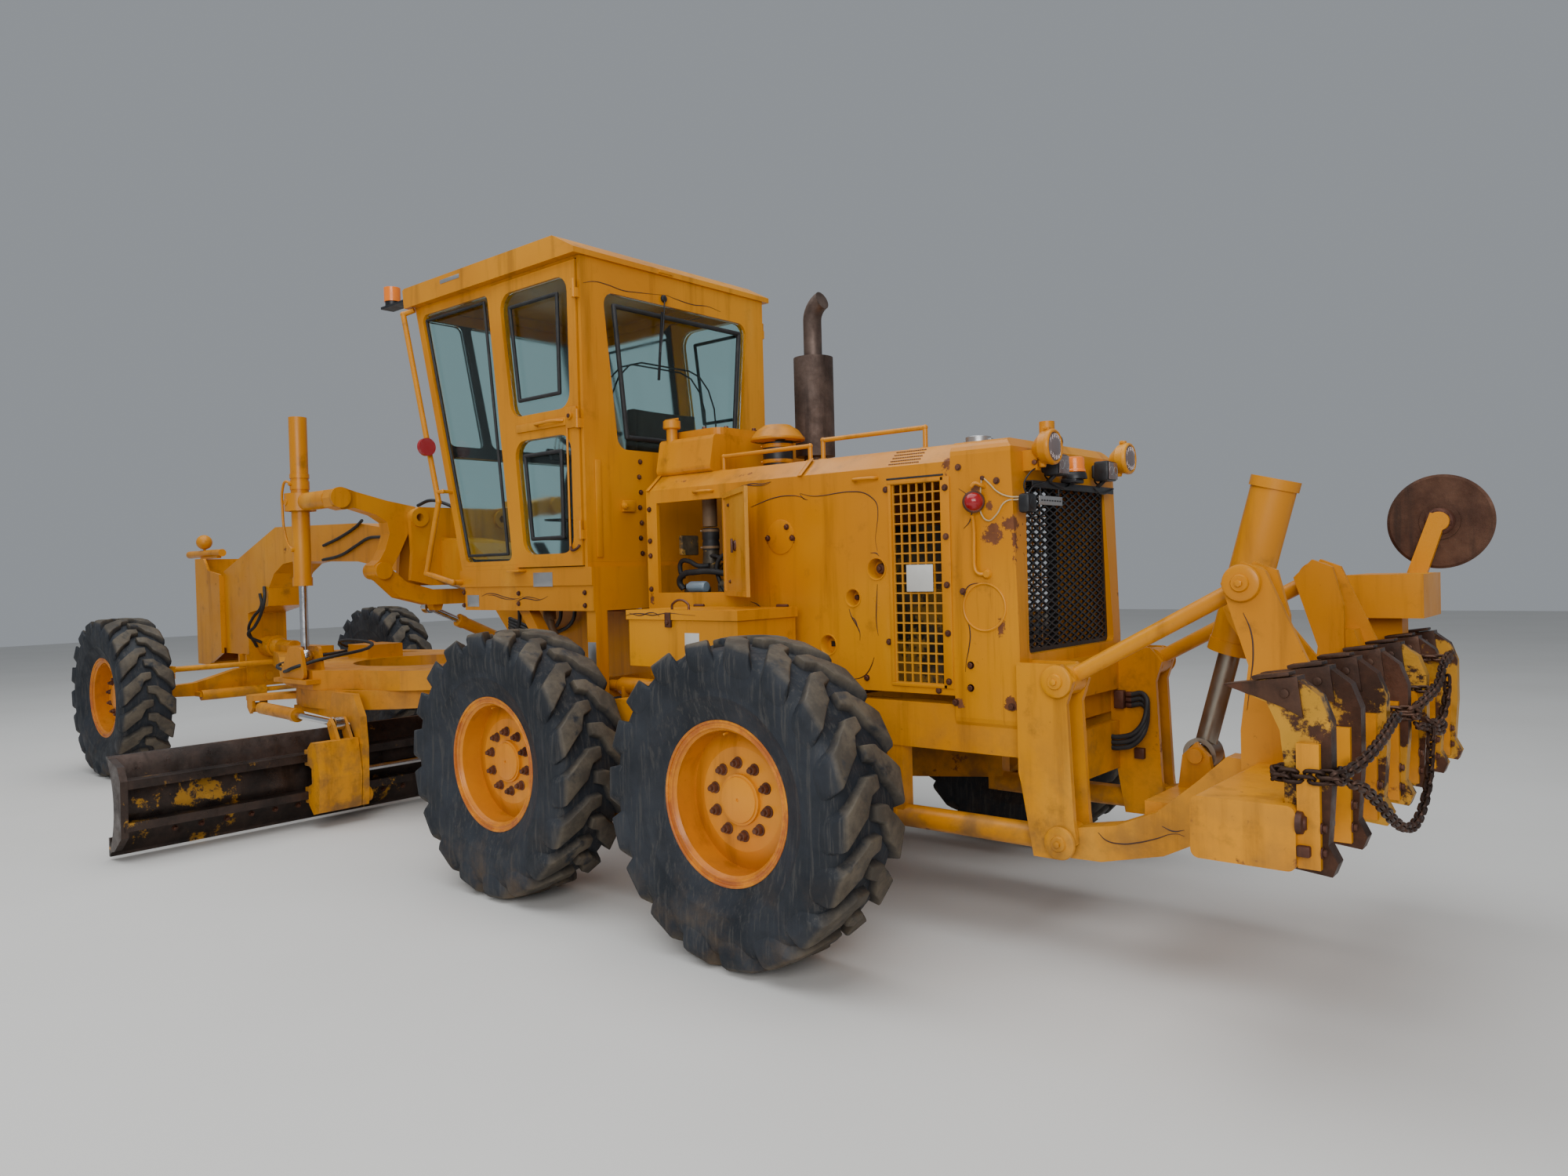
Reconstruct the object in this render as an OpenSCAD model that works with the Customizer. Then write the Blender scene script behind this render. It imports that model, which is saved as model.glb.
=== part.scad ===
/* [Running gear] */
// Distance from the tandem pivot to the front axle
wheelbase = 6460; // [6300:10:6600]
// Distance between the two axles of a tandem
tandem_spacing = 1605; // [1580:5:1640]
// Distance between the left and right tyre centres
track = 2400; // [2380:5:2440]
// Tyre diameter over the lugs
tyre_d = 1340; // [1320:2:1350]
// Tyre section width
tyre_w = 400; // [380:2:400]
// Rim seat diameter
rim_d = 610; // [600:2:620]
// Rim width over the flanges
rim_w = 280; // [260:2:290]
// Height of the rim flange above the seat
rim_flange = 31; // [26:1:34]
// Spindle diameter in the hub
spindle_d = 120; // [100:2:130]

/* [Rear frame] */
// Centre line of each frame rail from the middle
rail_y = 450; // [440:1:460]
// Width of a frame rail
rail_w = 90; // [80:1:94]
// Top of the frame rails above the ground
rail_top = 1010; // [1000:1:1020]
// Height of a frame rail
rail_h = 200; // [190:1:205]
// Articulation pin, distance ahead of the tandem pivot
hitch_x = 620; // [610:1:630]
// Articulation pin diameter
hitch_pin_d = 100; // [80:2:120]
// Thickness of a hitch plate
hitch_plate = 40; // [30:1:42]

/* [Engine housing] */
// Half width of the hood
hood_y = 505; // [500:1:510]
// Front end of the hood
hood_front = 530; // [525:1:535]
// Joint between the hood and the radiator shell
hood_rear = -1380; // [-1390:1:-1370]
// Top of the hood
hood_top = 2130; // [2120:1:2140]
// Bottom edge of the hood sides
hood_bottom = 1050; // [1040:1:1060]
// Sheet thickness of the housing
hood_wall = 20; // [12:1:24]
// Rear face of the radiator shell
shell_rear = -1690; // [-1700:1:-1660]

/* [Cab] */
// Half width of the cab body
cab_y = 740; // [730:1:745]
// Rear wall of the cab
cab_rear = 750; // [745:1:760]
// Foot of the cab's front
cab_front = 1950; // [1940:1:1960]
// Forward lean of the cab's front at the top
cab_lean = 440; // [430:1:450]
// Cab floor above the ground
floor_z = 1650; // [1645:1:1660]
// Underside of the cab roof
roof_z = 3330; // [3320:1:3345]
// Thickness of the roof
roof_t = 125; // [110:1:130]
// Wall thickness of the cab
cab_wall = 45; // [40:1:50]
// Glass thickness
glass_t = 6; // [5:1:8]

/* [Front frame] */
// Half width of the main beam
beam_y = 175; // [165:1:185]
// Half width of the front post
post_y = 220; // [210:1:225]
// Front face of the front post
post_front = 7430; // [7420:1:7440]
// Length of the top tube ahead of the front post
tube_overhang = 305; // [300:1:320]
// Steering pivot from the middle
kingpin_y = 900; // [895:1:905]
// Steering pivot pin diameter
kingpin_d = 70; // [60:2:76]
// Length of the steering arms
steer_arm = 260; // [250:1:265]

/* [Blade group] */
// Blade length
blade_l = 4270; // [4200:10:4300]
// Sideways offset of the blade's middle
blade_shift = 145; // [140:1:150]
// Blade height
blade_h = 570; // [560:1:575]
// Radius of the blade's curve
blade_r = 450; // [440:1:470]
// Blade plate thickness
blade_t = 25; // [20:1:30]
// Circle outer radius
circle_r = 915; // [905:1:925]
// Circle centre ahead of the tandem pivot
circle_x = 3640; // [3630:1:3650]
// Underside of the circle
circle_z = 720; // [715:1:722]
// Height of the circle
circle_h = 130; // [125:1:132]
// Number of teeth in the circle
circle_teeth = 64; // [48:1:72]
// Drawbar ball behind the front axle
ball_back = 310; // [300:1:315]
// Drawbar ball above the ground
ball_z = 1020; // [1015:1:1025]

/* [Cylinders] */
// Lift cylinder from the middle
lift_y = 905; // [900:1:910]
// Barrel radius of the lift cylinders
lift_barrel_r = 60; // [56:1:62]
// Rod radius of the lift cylinders
lift_rod_r = 28; // [25:1:32]
// Barrel radius of the ripper cylinder
rip_barrel_r = 85; // [80:1:90]
// Rod radius of the ripper cylinder
rip_rod_r = 42; // [36:1:46]
// Running clearance of rods and pins
fit = 0.05; // [0.03:0.01:0.08]
// Gap between pieces that touch on the real machine
seat = 0.3; // [0.3:0.1:0.5]
// Gap between moving pieces
gap = 6; // [5:1:8]

/* [Ripper] */
// Centre line of each ripper arm from the middle
rip_y = 460; // [455:1:465]
// Half length of the ripper beam
rip_beam_y = 1170; // [1160:1:1180]
// Number of ripper shanks
shanks = 7; // [5:1:9]
// Thickness of a shank
shank_t = 62; // [50:1:70]
// Edge cutter radius
cutter_r = 210; // [200:1:220]

/* [Hidden] */
$fn = 48;

axle_z = tyre_d / 2;
wheel_y = track / 2;
tandem_x = tandem_spacing / 2;
rim_r = rim_d / 2;
flange_r = rim_r + rim_flange;
hub_r = 105;
hub_in = 20;
hub_out = 55;

cutter_x = -2926;
cutter_y = -1100;
cutter_z = 1746;
front_reach = post_front + tube_overhang;
rear_reach = cutter_x - cutter_r;
origin_x = (front_reach + rear_reach) / 2;
origin_y = blade_shift;

// Wheels: name, distance ahead of the tandem pivot, side
WHEELS = [
    ["front_left", wheelbase, 1],
    ["front_right", wheelbase, -1],
    ["mid_left", tandem_x, 1],
    ["mid_right", tandem_x, -1],
    ["rear_left", -tandem_x, 1],
    ["rear_right", -tandem_x, -1],
];

// Ripper pins, x and z: arm on bracket, link on bracket, arm on carriage, link on carriage
rip_a = [-1870, 499];
rip_b = [-1870, 1138];
rip_c = [-2600, 800];
rip_d = [-2573, 1518];
rip_eye = [-2244, 811];
rip_trunnion = [-2410, 1420];
rip_pin_r = 30;
rip_arm_y0 = rip_y - 50;
rip_arm_y1 = rip_y + 50;

// Lift cylinder pins, x and z
lift_top = [3700, 2170];
lift_foot = [3700, 1085];

lift_pin_r = 22;

// Centre shift cylinder pins: on the drawbar and on the lock bar
centre_foot = [3330, -640, 1045];
centre_top = [3330, 150, 1400];
centre_pin_r = 14;

// Blade pivot and tip cylinder pins, x and z
blade_pivot = [3020, 170];
tip_foot = [3110, 655];
tip_base = [4330, 688];
tip_y = 980;
tip_pin_r = 16;
ear_y0 = 850;
ear_y1 = 895;
blade_low = 40;
blade_top = blade_low + blade_h;
blade_chord_x = 3330;
shift_x = 3120;
shift_z = (blade_low + blade_top) / 2;

// Plane geometry helpers
function unit(v) = v / norm(v);
function left_of(v) = [-v[1], v[0]];
function area2(p) = [for (i = [0:len(p) - 1]) let (q = p[(i + 1) % len(p)]) p[i][0] * q[1] - q[0] * p[i][1]];
function total(v, i = 0) = i < len(v) ? v[i] + total(v, i + 1) : 0;
function turn_sign(p) = sign(total(area2(p)));

// Outline moved outwards by d, with mitred corners
function grown(p, d) = [
    for (i = [0:len(p) - 1])
        let (
            n = len(p),
            u = unit(p[i] - p[(i + n - 1) % n]),
            v = unit(p[(i + 1) % n] - p[i]),
            nu = -turn_sign(p) * left_of(u),
            nv = -turn_sign(p) * left_of(v)
        )
        p[i] + d * (nu + nv) / (1 + nu * nv)
];

// Outline with every corner rounded to radius r
function rounded(p, r, steps = 5) = [
    for (i = [0:len(p) - 1])
        let (
            n = len(p),
            u = unit(p[(i + n - 1) % n] - p[i]),
            v = unit(p[(i + 1) % n] - p[i]),
            half = acos(max(-1, min(1, u * v))) / 2,
            c = p[i] + unit(u + v) * r / sin(half),
            a0 = atan2((p[i] + u * r / tan(half) - c)[1], (p[i] + u * r / tan(half) - c)[0]),
            a1 = atan2((p[i] + v * r / tan(half) - c)[1], (p[i] + v * r / tan(half) - c)[0]),
            turn = (a1 - a0 + 540) % 360 - 180
        )
        for (k = [0:steps])
            c + r * [cos(a0 + turn * k / steps), sin(a0 + turn * k / steps)]
];

function mirrored(p) = [for (i = [len(p) - 1:-1:0]) [-p[i][0], p[i][1]]];

// Shape helpers: every one takes places in the machine's frame
module machine() {
    translate([-origin_x, -origin_y, 0])
        children();
}

module slab(x, y, z) {
    translate([x[0], y[0], z[0]])
        cube([x[1] - x[0], y[1] - y[0], z[1] - z[0]]);
}

// Side view outline, x and z, made solid from y[0] to y[1]
module side_plate(points, y) {
    translate([0, y[1], 0])
        rotate([90, 0, 0])
            linear_extrude(y[1] - y[0])
                polygon(points);
}

// Front view outline, y and z, made solid from x[0] to x[1]
module cross_plate(points, x) {
    translate([x[0], 0, 0])
        rotate([90, 0, 90])
            linear_extrude(x[1] - x[0])
                polygon(points);
}

// Top view outline, x and y, made solid from z[0] to z[1]
module deck_plate(points, z) {
    translate([0, 0, z[0]])
        linear_extrude(z[1] - z[0])
            polygon(points);
}

module round_y(r, x, z, y) {
    translate([x, y[1], z])
        rotate([90, 0, 0])
            cylinder(r = r, h = y[1] - y[0]);
}

module round_x(r, y, z, x) {
    translate([x[0], y, z])
        rotate([0, 90, 0])
            cylinder(r = r, h = x[1] - x[0]);
}

module round_z(r, x, y, z) {
    translate([x, y, z[0]])
        cylinder(r = r, h = z[1] - z[0]);
}

// Local Z runs from p to q
module along(p, q) {
    d = q - p;
    translate(p)
        rotate([0, acos(d[2] / norm(d)), atan2(d[1], d[0])])
            children();
}

module bar(p, q, r) {
    along(p, q)
        cylinder(r = r, h = norm(q - p));
}

module both_sides() {
    children();
    mirror([0, 1, 0])
        children();
}

module left_or_right(side) {
    mirror([0, side < 0 ? 1 : 0, 0])
        children();
}

// Wheels
module at_wheel(x, side) {
    translate([x, side * wheel_y, axle_z])
        rotate([-90 * side, 0, 0])
            children();
}

module tyre() {
    bead_r = rim_r + seat;
    bead_half = rim_w / 2 - 12 - seat;
    clear_r = flange_r + 3;
    shoulder_r = axle_z - 34;
    tread_half = tyre_w / 2 - 22;
    wall_steps = 10;
    mid_r = (clear_r + shoulder_r) / 2;
    wall_a = (shoulder_r - clear_r) / 2;
    wall = [
        for (i = [0:wall_steps])
            let (a = -90 + 180 * i / wall_steps)
            [mid_r + wall_a * sin(a), bead_half + (tyre_w / 2 - bead_half) * cos(a) + 14 * (sin(a) + 1)]
    ];
    half = concat([[bead_r, bead_half]], wall, [[axle_z - 8, tread_half], [axle_z, tread_half - 30]]);
    outline = concat(half, [for (i = [len(half) - 1:-1:0]) [half[i][0], -half[i][1]]]);
    color([0.12, 0.13, 0.14])
        rotate_extrude($fn = 72)
            polygon(outline);
}

module rim() {
    w = rim_w / 2;
    barrel_in = rim_r - 12;
    disc_r = 215;
    // Radius and distance out of the wheel's middle plane
    barrel = [
        [barrel_in, -w], [flange_r, -w], [flange_r, -w + 12], [rim_r, -w + 12],
        [rim_r, w - 12], [flange_r, w - 12], [flange_r, w], [rim_r + 6, w], [barrel_in, w - 18],
        [barrel_in, 14], [disc_r, 38], [hub_r, 40], [hub_r, hub_out], [0, hub_out],
        [0, -hub_in], [hub_r, -hub_in], [hub_r, 22], [disc_r, 20], [barrel_in, -4],
    ];
    color([0.80, 0.50, 0.08])
        difference() {
            rotate_extrude($fn = 72)
                polygon(barrel);
            translate([0, 0, -hub_in - 1])
                cylinder(d = spindle_d + 2 * fit, h = hub_in + hub_out - 9);
        }
}

// Rear frame and drive
bulkhead_y = hood_y - hood_wall - seat;

module hitch_plan(r) {
    union() {
        translate([hitch_x, 0])
            circle(r = r);
        polygon([
            [380, -bulkhead_y], [hitch_x - 20, -r], [hitch_x, -r],
            [hitch_x, r], [hitch_x - 20, r], [380, bulkhead_y],
        ]);
    }
}

hitch_low = rail_top - 110;
hitch_high = 1330;
hitch_r = 130;

module rear_frame() {
    rail_y0 = rail_y - rail_w / 2;
    rail_y1 = rail_y + rail_w / 2;
    color([0.80, 0.55, 0.10]) {
        union() {
            both_sides()
                slab([shell_rear, 430], [rail_y0, rail_y1], [rail_top - rail_h, rail_top]);
            for (x = [-1600, -700, 260])
                slab([x, x + 60], [-rail_y0, rail_y0], [rail_top - 150, rail_top - 20]);
            translate([0, 0, hitch_low - hitch_plate])
                linear_extrude(hitch_plate)
                    hitch_plan(hitch_r);
            translate([0, 0, hitch_high])
                linear_extrude(hitch_plate)
                    hitch_plan(hitch_r);
            slab([380, 430], [-bulkhead_y, bulkhead_y], [rail_top - 60, hitch_high + hitch_plate]);
            both_sides()
                side_plate([[200, rail_top], [430, rail_top], [430, hitch_high], [380, hitch_high]],
                    [rail_y0, rail_y0 + 25]);
            round_z(hitch_pin_d / 2, hitch_x, 0, [hitch_low - hitch_plate, hitch_high + hitch_plate + 25]);
        }
    }
}

module tandem_drive() {
    case_in = 760;
    case_out = 950;
    end_r = 240;
    housing_r = 135;
    rail_under = rail_top - rail_h;
    case_side = [
        [-tandem_x, axle_z - end_r], [-300, axle_z - 290], [300, axle_z - 290],
        [tandem_x, axle_z - end_r], [tandem_x, axle_z + end_r], [300, axle_z + 315],
        [-300, axle_z + 315], [-tandem_x, axle_z + end_r],
    ];
    spindle_tip = wheel_y + hub_out - 20;
    color([0.80, 0.55, 0.10]) {
        both_sides()
            union() {
                side_plate(case_side, [case_in, case_out]);
                for (x = [-tandem_x, tandem_x]) {
                    round_y(end_r, x, axle_z, [case_in, case_out]);
                    round_y(150, x, axle_z, [case_out - 1, case_out + 60]);
                    round_y(95, x, axle_z, [case_out, wheel_y - hub_in - seat]);
                    round_y(spindle_d / 2, x, axle_z, [case_out, spindle_tip]);
                }
            }
        union() {
            round_y(housing_r, 0, axle_z, [-case_in, case_in]);
            round_y(215, 0, axle_z, [-260, 260]);
            both_sides() {
                round_y(220, 0, axle_z, [case_in - 60, case_in]);
                slab([-150, 150], [rail_y - rail_w / 2, rail_y + rail_w / 2], [axle_z, rail_under]);
            }
        }
    }
}

module engine_block() {
    color([0.30, 0.28, 0.24])
        union() {
            slab([-1150, 150], [-230, 230], [1030, 1500]);
            slab([-1050, 60], [-180, 180], [1499, 1800]);
            round_x(210, 0, 1320, [149, 300]);
            round_x(60, 330, 1400, [-650, -250]);
            round_z(55, 40, 290, [1380, 1700]);
            round_z(70, -120, 300, [1420, 1560]);
            slab([-350, 120], [229, 330], [1300, 1380]);
            round_x(24, 330, 1540, [-160, 150]);
        }
}

hood_corner = 90;
hood_side_top = 2050;

function hood_profile(d) = [
    [-hood_y + d, hood_bottom - 1], [hood_y - d, hood_bottom - 1], [hood_y - d, hood_side_top - d],
    [hood_y - hood_corner - d, hood_top - d], [-hood_y + hood_corner + d, hood_top - d],
    [-hood_y + d, hood_side_top - d],
];

// Left opening of the hood, x and z
door_x0 = -50;
door_x1 = 450;
door_z0 = 1500;
door_z1 = 1980;
door_hinge = [door_x0 - 15, hood_y + gap + 12];
door_knuckles = [door_z0 + 60, door_z1 - 140];
screen_x0 = -1330;
screen_x1 = -1075;
screen_z0 = 1090;
screen_z1 = 1975;

module engine_hood() {
    color([0.82, 0.56, 0.10])
        union() {
            hood_panels();
            hood_fittings();
        }
}

module hood_panels() {
        difference() {
            cross_plate(hood_profile(0), [hood_rear + seat, hood_front]);
            cross_plate(hood_profile(hood_wall), [hood_rear - 5, hood_front + 5]);
            slab([hood_rear - 5, hood_front + 5], [-hood_y - 5, hood_y + 5], [hood_bottom - 5, hood_bottom]);
            slab([door_x0, door_x1], [0, hood_y + 5], [door_z0, door_z1]);
            both_sides()
                slab([screen_x0, screen_x1], [0, hood_y + 5], [screen_z0, screen_z1]);
            both_sides()
                for (h = [[-985, 1600, 46], [-850, 1470, 38], [-700, 1250, 44]])
                    round_y(h[2], h[0], h[1], [hood_y - 100, hood_y + 5]);
        }
}

module lattice(w, h, nx, nz, wire) {
    px = (w - wire) / nx;
    pz = (h - wire) / nz;
    difference() {
        square([w, h]);
        for (i = [0:nx - 1])
            for (k = [0:nz - 1])
                translate([wire + i * px, wire + k * pz])
                    square([px - wire, pz - wire]);
    }
}

module side_screens() {
    w = screen_x1 - screen_x0 - 2 * seat;
    h = screen_z1 - screen_z0 - 2 * seat;
    color([0.72, 0.50, 0.14])
        both_sides()
            translate([screen_x0 + seat, hood_y - 6, screen_z0 + seat])
                rotate([90, 0, 0])
                    linear_extrude(8)
                        lattice(w, h, 6, 20, 7);
}

grille_z0 = 1230;
grille_z1 = 1950;
grille_y0 = 425;
grille_y1 = 388;

module radiator_shell() {
    low = 900;
    shell = rounded([[-hood_y, low], [hood_y, low], [hood_y, hood_top], [-hood_y, hood_top]], 60);
    inside = rounded(grown([[-hood_y, low - 90], [hood_y, low - 90], [hood_y, hood_top], [-hood_y, hood_top]],
        -hood_wall), 40);
    color([0.82, 0.56, 0.10])
        rear_lamps();
    color([0.82, 0.56, 0.10])
        difference() {
            intersection() {
                cross_plate(shell, [shell_rear, hood_rear]);
                side_plate([[hood_rear, low], [hood_rear, hood_top], [shell_rear + 60, hood_top],
                    [shell_rear + 25, hood_top - 40], [shell_rear, 1250], [shell_rear, low]],
                    [-hood_y, hood_y]);
            }
            cross_plate(inside, [shell_rear + 60, hood_rear + 5]);
            cross_plate(rounded([[-grille_y0, grille_z0], [grille_y0, grille_z0], [grille_y1, grille_z1],
                [-grille_y1, grille_z1]], 25), [shell_rear - 5, hood_rear]);
            both_sides()
                slab([-1760, -1300], [rail_y - rail_w / 2 - seat, rail_y + rail_w / 2 + seat],
                    [low - 5, rail_top + seat]);
        }
}

module radiator_grille() {
    n = 11;
    m = 22;
    px = 2 * grille_y0 / n;
    pz = (grille_z1 - grille_z0 + 2) / m;
    outline = rounded([[-grille_y0 + seat, grille_z0 + seat], [grille_y0 - seat, grille_z0 + seat],
        [grille_y1 - seat, grille_z1 - seat], [-grille_y1 + seat, grille_z1 - seat]], 25);
    border = rounded(grown([[-grille_y0, grille_z0], [grille_y0, grille_z0],
        [grille_y1, grille_z1], [-grille_y1, grille_z1]], -18), 14);
    color([0.05, 0.05, 0.06])
        translate([shell_rear + 30, 0, 0])
            rotate([90, 0, 90])
                linear_extrude(10)
                    difference() {
                        polygon(outline);
                        intersection() {
                            polygon(border);
                            for (i = [-n:n])
                                for (k = [0:m])
                                    translate([i * px / 2, grille_z0 + k * pz + (i % 2 == 0 ? 0 : pz / 2)])
                                        polygon([[-px * 0.40, 0], [0, -pz * 0.38], [px * 0.40, 0],
                                            [0, pz * 0.38]]);
                        }
                    }
}

module exhaust() {
    x = -130;
    y = -150;
    top = 2960;
    color([0.16, 0.12, 0.10])
        union() {
            round_z(62, x, y, [hood_top + seat, hood_top + 90]);
            round_z(108, x, y, [hood_top + 89, 2760]);
            round_z(50, x, y, [2759, top]);
            translate([x - 110, y, top])
                rotate([90, 0, 0])
                    rotate_extrude(angle = 70)
                        translate([110, 0])
                            circle(r = 50);
        }
}

module hood_rail(x0, x1, y, h) {
    r = 11;
    z = hood_top;
    union() {
        for (x = [x0, x1])
            round_z(r, x, y, [z - 2, z + h]);
        round_x(r, y, z + h, [x0, x1]);
        for (x = [x0, x1])
            translate([x, y, z + h])
                sphere(r = r + 2);
    }
}

// Hand rails, air intake cap and filler cap on top of the hood
module hood_fittings() {
    px = -90;
    py = 120;
    for (z = door_knuckles) {
        round_z(10, door_hinge[0], door_hinge[1], [z, z + 40]);
        slab([door_hinge[0] - 6, door_hinge[0] + 6], [hood_y - 2, door_hinge[1]], [z, z + 40]);
    }
    both_sides() {
        hood_rail(-520, 60, 380, 75);
        hood_rail(-1180, -600, 380, 95);
    }
    round_z(80, px, py, [hood_top - 2, 2290]);
    translate([px, py, 2280])
        rotate_extrude()
            polygon([[0, 0], [80, 0], [142, 10], [142, 24], [115, 62], [70, 92], [0, 100]]);
    round_z(52, -1230, 0, [hood_top - 2, hood_top + 60]);
    round_z(60, -1230, 0, [hood_top + 35, hood_top + 75]);
}

module hydraulic_tank() {
    top = 2330;
    color([0.82, 0.56, 0.10])
        union() {
            cross_plate(rounded([[-440, hood_top + seat], [440, hood_top + seat], [400, top], [-400, top]], 30),
                [110, 520]);
            deck_plate(rounded([[140, -330], [490, -330], [490, 330], [140, 330]], 60), [top - 1, top + 45]);
            for (a = [0:45:315])
                round_z(9, 315 + 130 * cos(a), 260 * sin(a), [top + 40, top + 55]);
            round_z(30, 450, 375, [hood_top + seat, 2390]);
            round_z(44, 450, 375, [2389, 2430]);
        }
}

module battery_boxes() {
    color([0.80, 0.55, 0.10]) {
        both_sides()
            union() {
                slab([-560, 160], [575, 975], [1160, 1400]);
                slab([-570, 170], [568, 985], [1385, 1430]);
                slab([-500, 100], [hood_y + seat, 700], [1145, 1161]);
                for (x = [-480, 80]) {
                    slab([x - 20, x + 20], [rail_y + rail_w / 2 + seat, 620], [900, hood_bottom - seat]);
                    slab([x - 20, x + 20], [hood_y + seat, 620], [1000, 1150]);
                }
            }
    }
}

module rear_lamps() {
    both_sides() {
        translate([shell_rear - 110, 385, 2080])
            rotate([0, 90, 0])
                rotate_extrude()
                    polygon([[0, 0], [68, 0], [72, 12], [66, 45], [30, 85], [0, 92]]);
        slab([shell_rear - 40, shell_rear + 50], [370, 400], [1990, 2075]);
    }
    round_z(40, -1580, 0, [hood_top - 2, hood_top + 30]);
    round_z(34, -1580, 0, [hood_top + 29, hood_top + 110]);
}

module ripper_bracket() {
    in0 = rip_arm_y0 - 6 - 26;
    in1 = rip_arm_y0 - 6;
    out0 = rip_arm_y1 + 6;
    out1 = rip_arm_y1 + 6 + 26;
    front = shell_rear - seat;
    plate = [
        [front, 780], [front - 60, 430], [-1850, 430], [-1935, 499], [-1925, 600],
        [-1905, 1050], [-1935, 1140], [-1880, 1205], [front, 1205],
    ];
    color([0.80, 0.55, 0.10]) {
        union() {
            both_sides() {
                side_plate(plate, [in0, in1]);
                side_plate(plate, [out0, out1]);
                round_y(rip_pin_r, rip_a[0], rip_a[1], [in0, out1 + 14]);
                round_y(rip_pin_r, rip_b[0], rip_b[1], [in0, out1 + 14]);
                side_plate([[front, 760], [front, 1180], [front - 35, 1180], [front - 35, 620]], [in0, out1]);
            }
            slab([front - 40, front], [-in1, in1], [1010, 1180]);
            slab([front - 40, front], [-in1, in1], [640, 860]);
        }
        both_sides()
            union() {
                round_x(50, rail_y, 490, [front - 80, -1050]);
                slab([-1090, -1010], [rail_y - 40, rail_y + 40], [450, rail_top - rail_h]);
            }
    }
}

door_open = 145;

module engine_door() {
    w = door_x1 - door_x0 + 30;
    color([0.75, 0.52, 0.14])
        translate([door_hinge[0], door_hinge[1], 0])
            rotate([0, 0, door_open])
                union() {
                    difference() {
                        slab([14, w], [-12, 6], [door_z0 - 15, door_z1 + 15]);
                        slab([39, w - 25], [-13, -4], [door_z0 + 10, door_z1 - 10]);
                    }
                    for (z = door_knuckles) {
                        round_z(10, 0, 0, [z + 40 + seat, z + 80]);
                        slab([0, 15], [-4, 4], [z + 40 + seat, z + 80]);
                    }
                }
}

// Ripper
module ripper_arms() {
    edge = [
        [-1925, 560], [-2080, 590], [-2239, 660], [-2400, 800], [-2500, 895], [-2600, 890],
        [-2680, 800], [-2640, 720], [-2520, 640], [-2437, 590], [-2265, 500], [-2020, 440], [-1870, 435],
    ];
    color([0.82, 0.56, 0.10])
        difference() {
            union() {
                both_sides() {
                    side_plate(edge, [rip_arm_y0, rip_arm_y1]);
                    round_y(64, rip_a[0], rip_a[1], [rip_arm_y0, rip_arm_y1]);
                    round_y(90, rip_c[0], rip_c[1], [rip_arm_y0, rip_arm_y1]);
                }
                slab([-2330, -2160], [-rip_arm_y0 - 5, rip_arm_y0 + 5], [560, 680]);
                both_sides()
                    side_plate([[-2330, 600], [-2160, 600], [-2190, 811], [-2244, 865], [-2298, 811]], [60, 90]);
                round_y(rip_pin_r, rip_eye[0], rip_eye[1], [-105, 105]);
            }
            both_sides() {
                round_y(rip_pin_r + fit, rip_a[0], rip_a[1], [rip_arm_y0 - 5, rip_arm_y1 + 5]);
                round_y(rip_pin_r + fit, rip_c[0], rip_c[1], [rip_arm_y0 - 5, rip_arm_y1 + 5]);
            }
        }
}

module ripper_links() {
    b = [rip_b[0], rip_y, rip_b[1]];
    d = [rip_d[0], rip_y, rip_d[1]];
    color([0.82, 0.56, 0.10])
        both_sides()
            difference() {
                union() {
                    bar(b, d, 32);
                    round_y(62, b[0], b[2], [rip_arm_y0, rip_arm_y1]);
                    round_y(62, d[0], d[2], [rip_arm_y0, rip_arm_y1]);
                }
                round_y(rip_pin_r + fit, b[0], b[2], [rip_arm_y0 - 5, rip_arm_y1 + 5]);
                round_y(rip_pin_r + 14, d[0], d[2], [rip_arm_y0 - 5, rip_arm_y1 + 5]);
            }
}

beam_x0 = -2900;
beam_x1 = -2600;
beam_z0 = 700;
beam_z1 = 890;

function shank_y(i) = -rip_beam_y + 75 + i * (2 * rip_beam_y - 150) / (shanks - 1);

module ripper_carriage() {
    difference() {
        carriage_solid();
        both_sides()
            round_y(rip_pin_r + fit, rip_trunnion[0], rip_trunnion[1], [rip_barrel_r, rip_barrel_r + 50]);
    }
}

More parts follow.
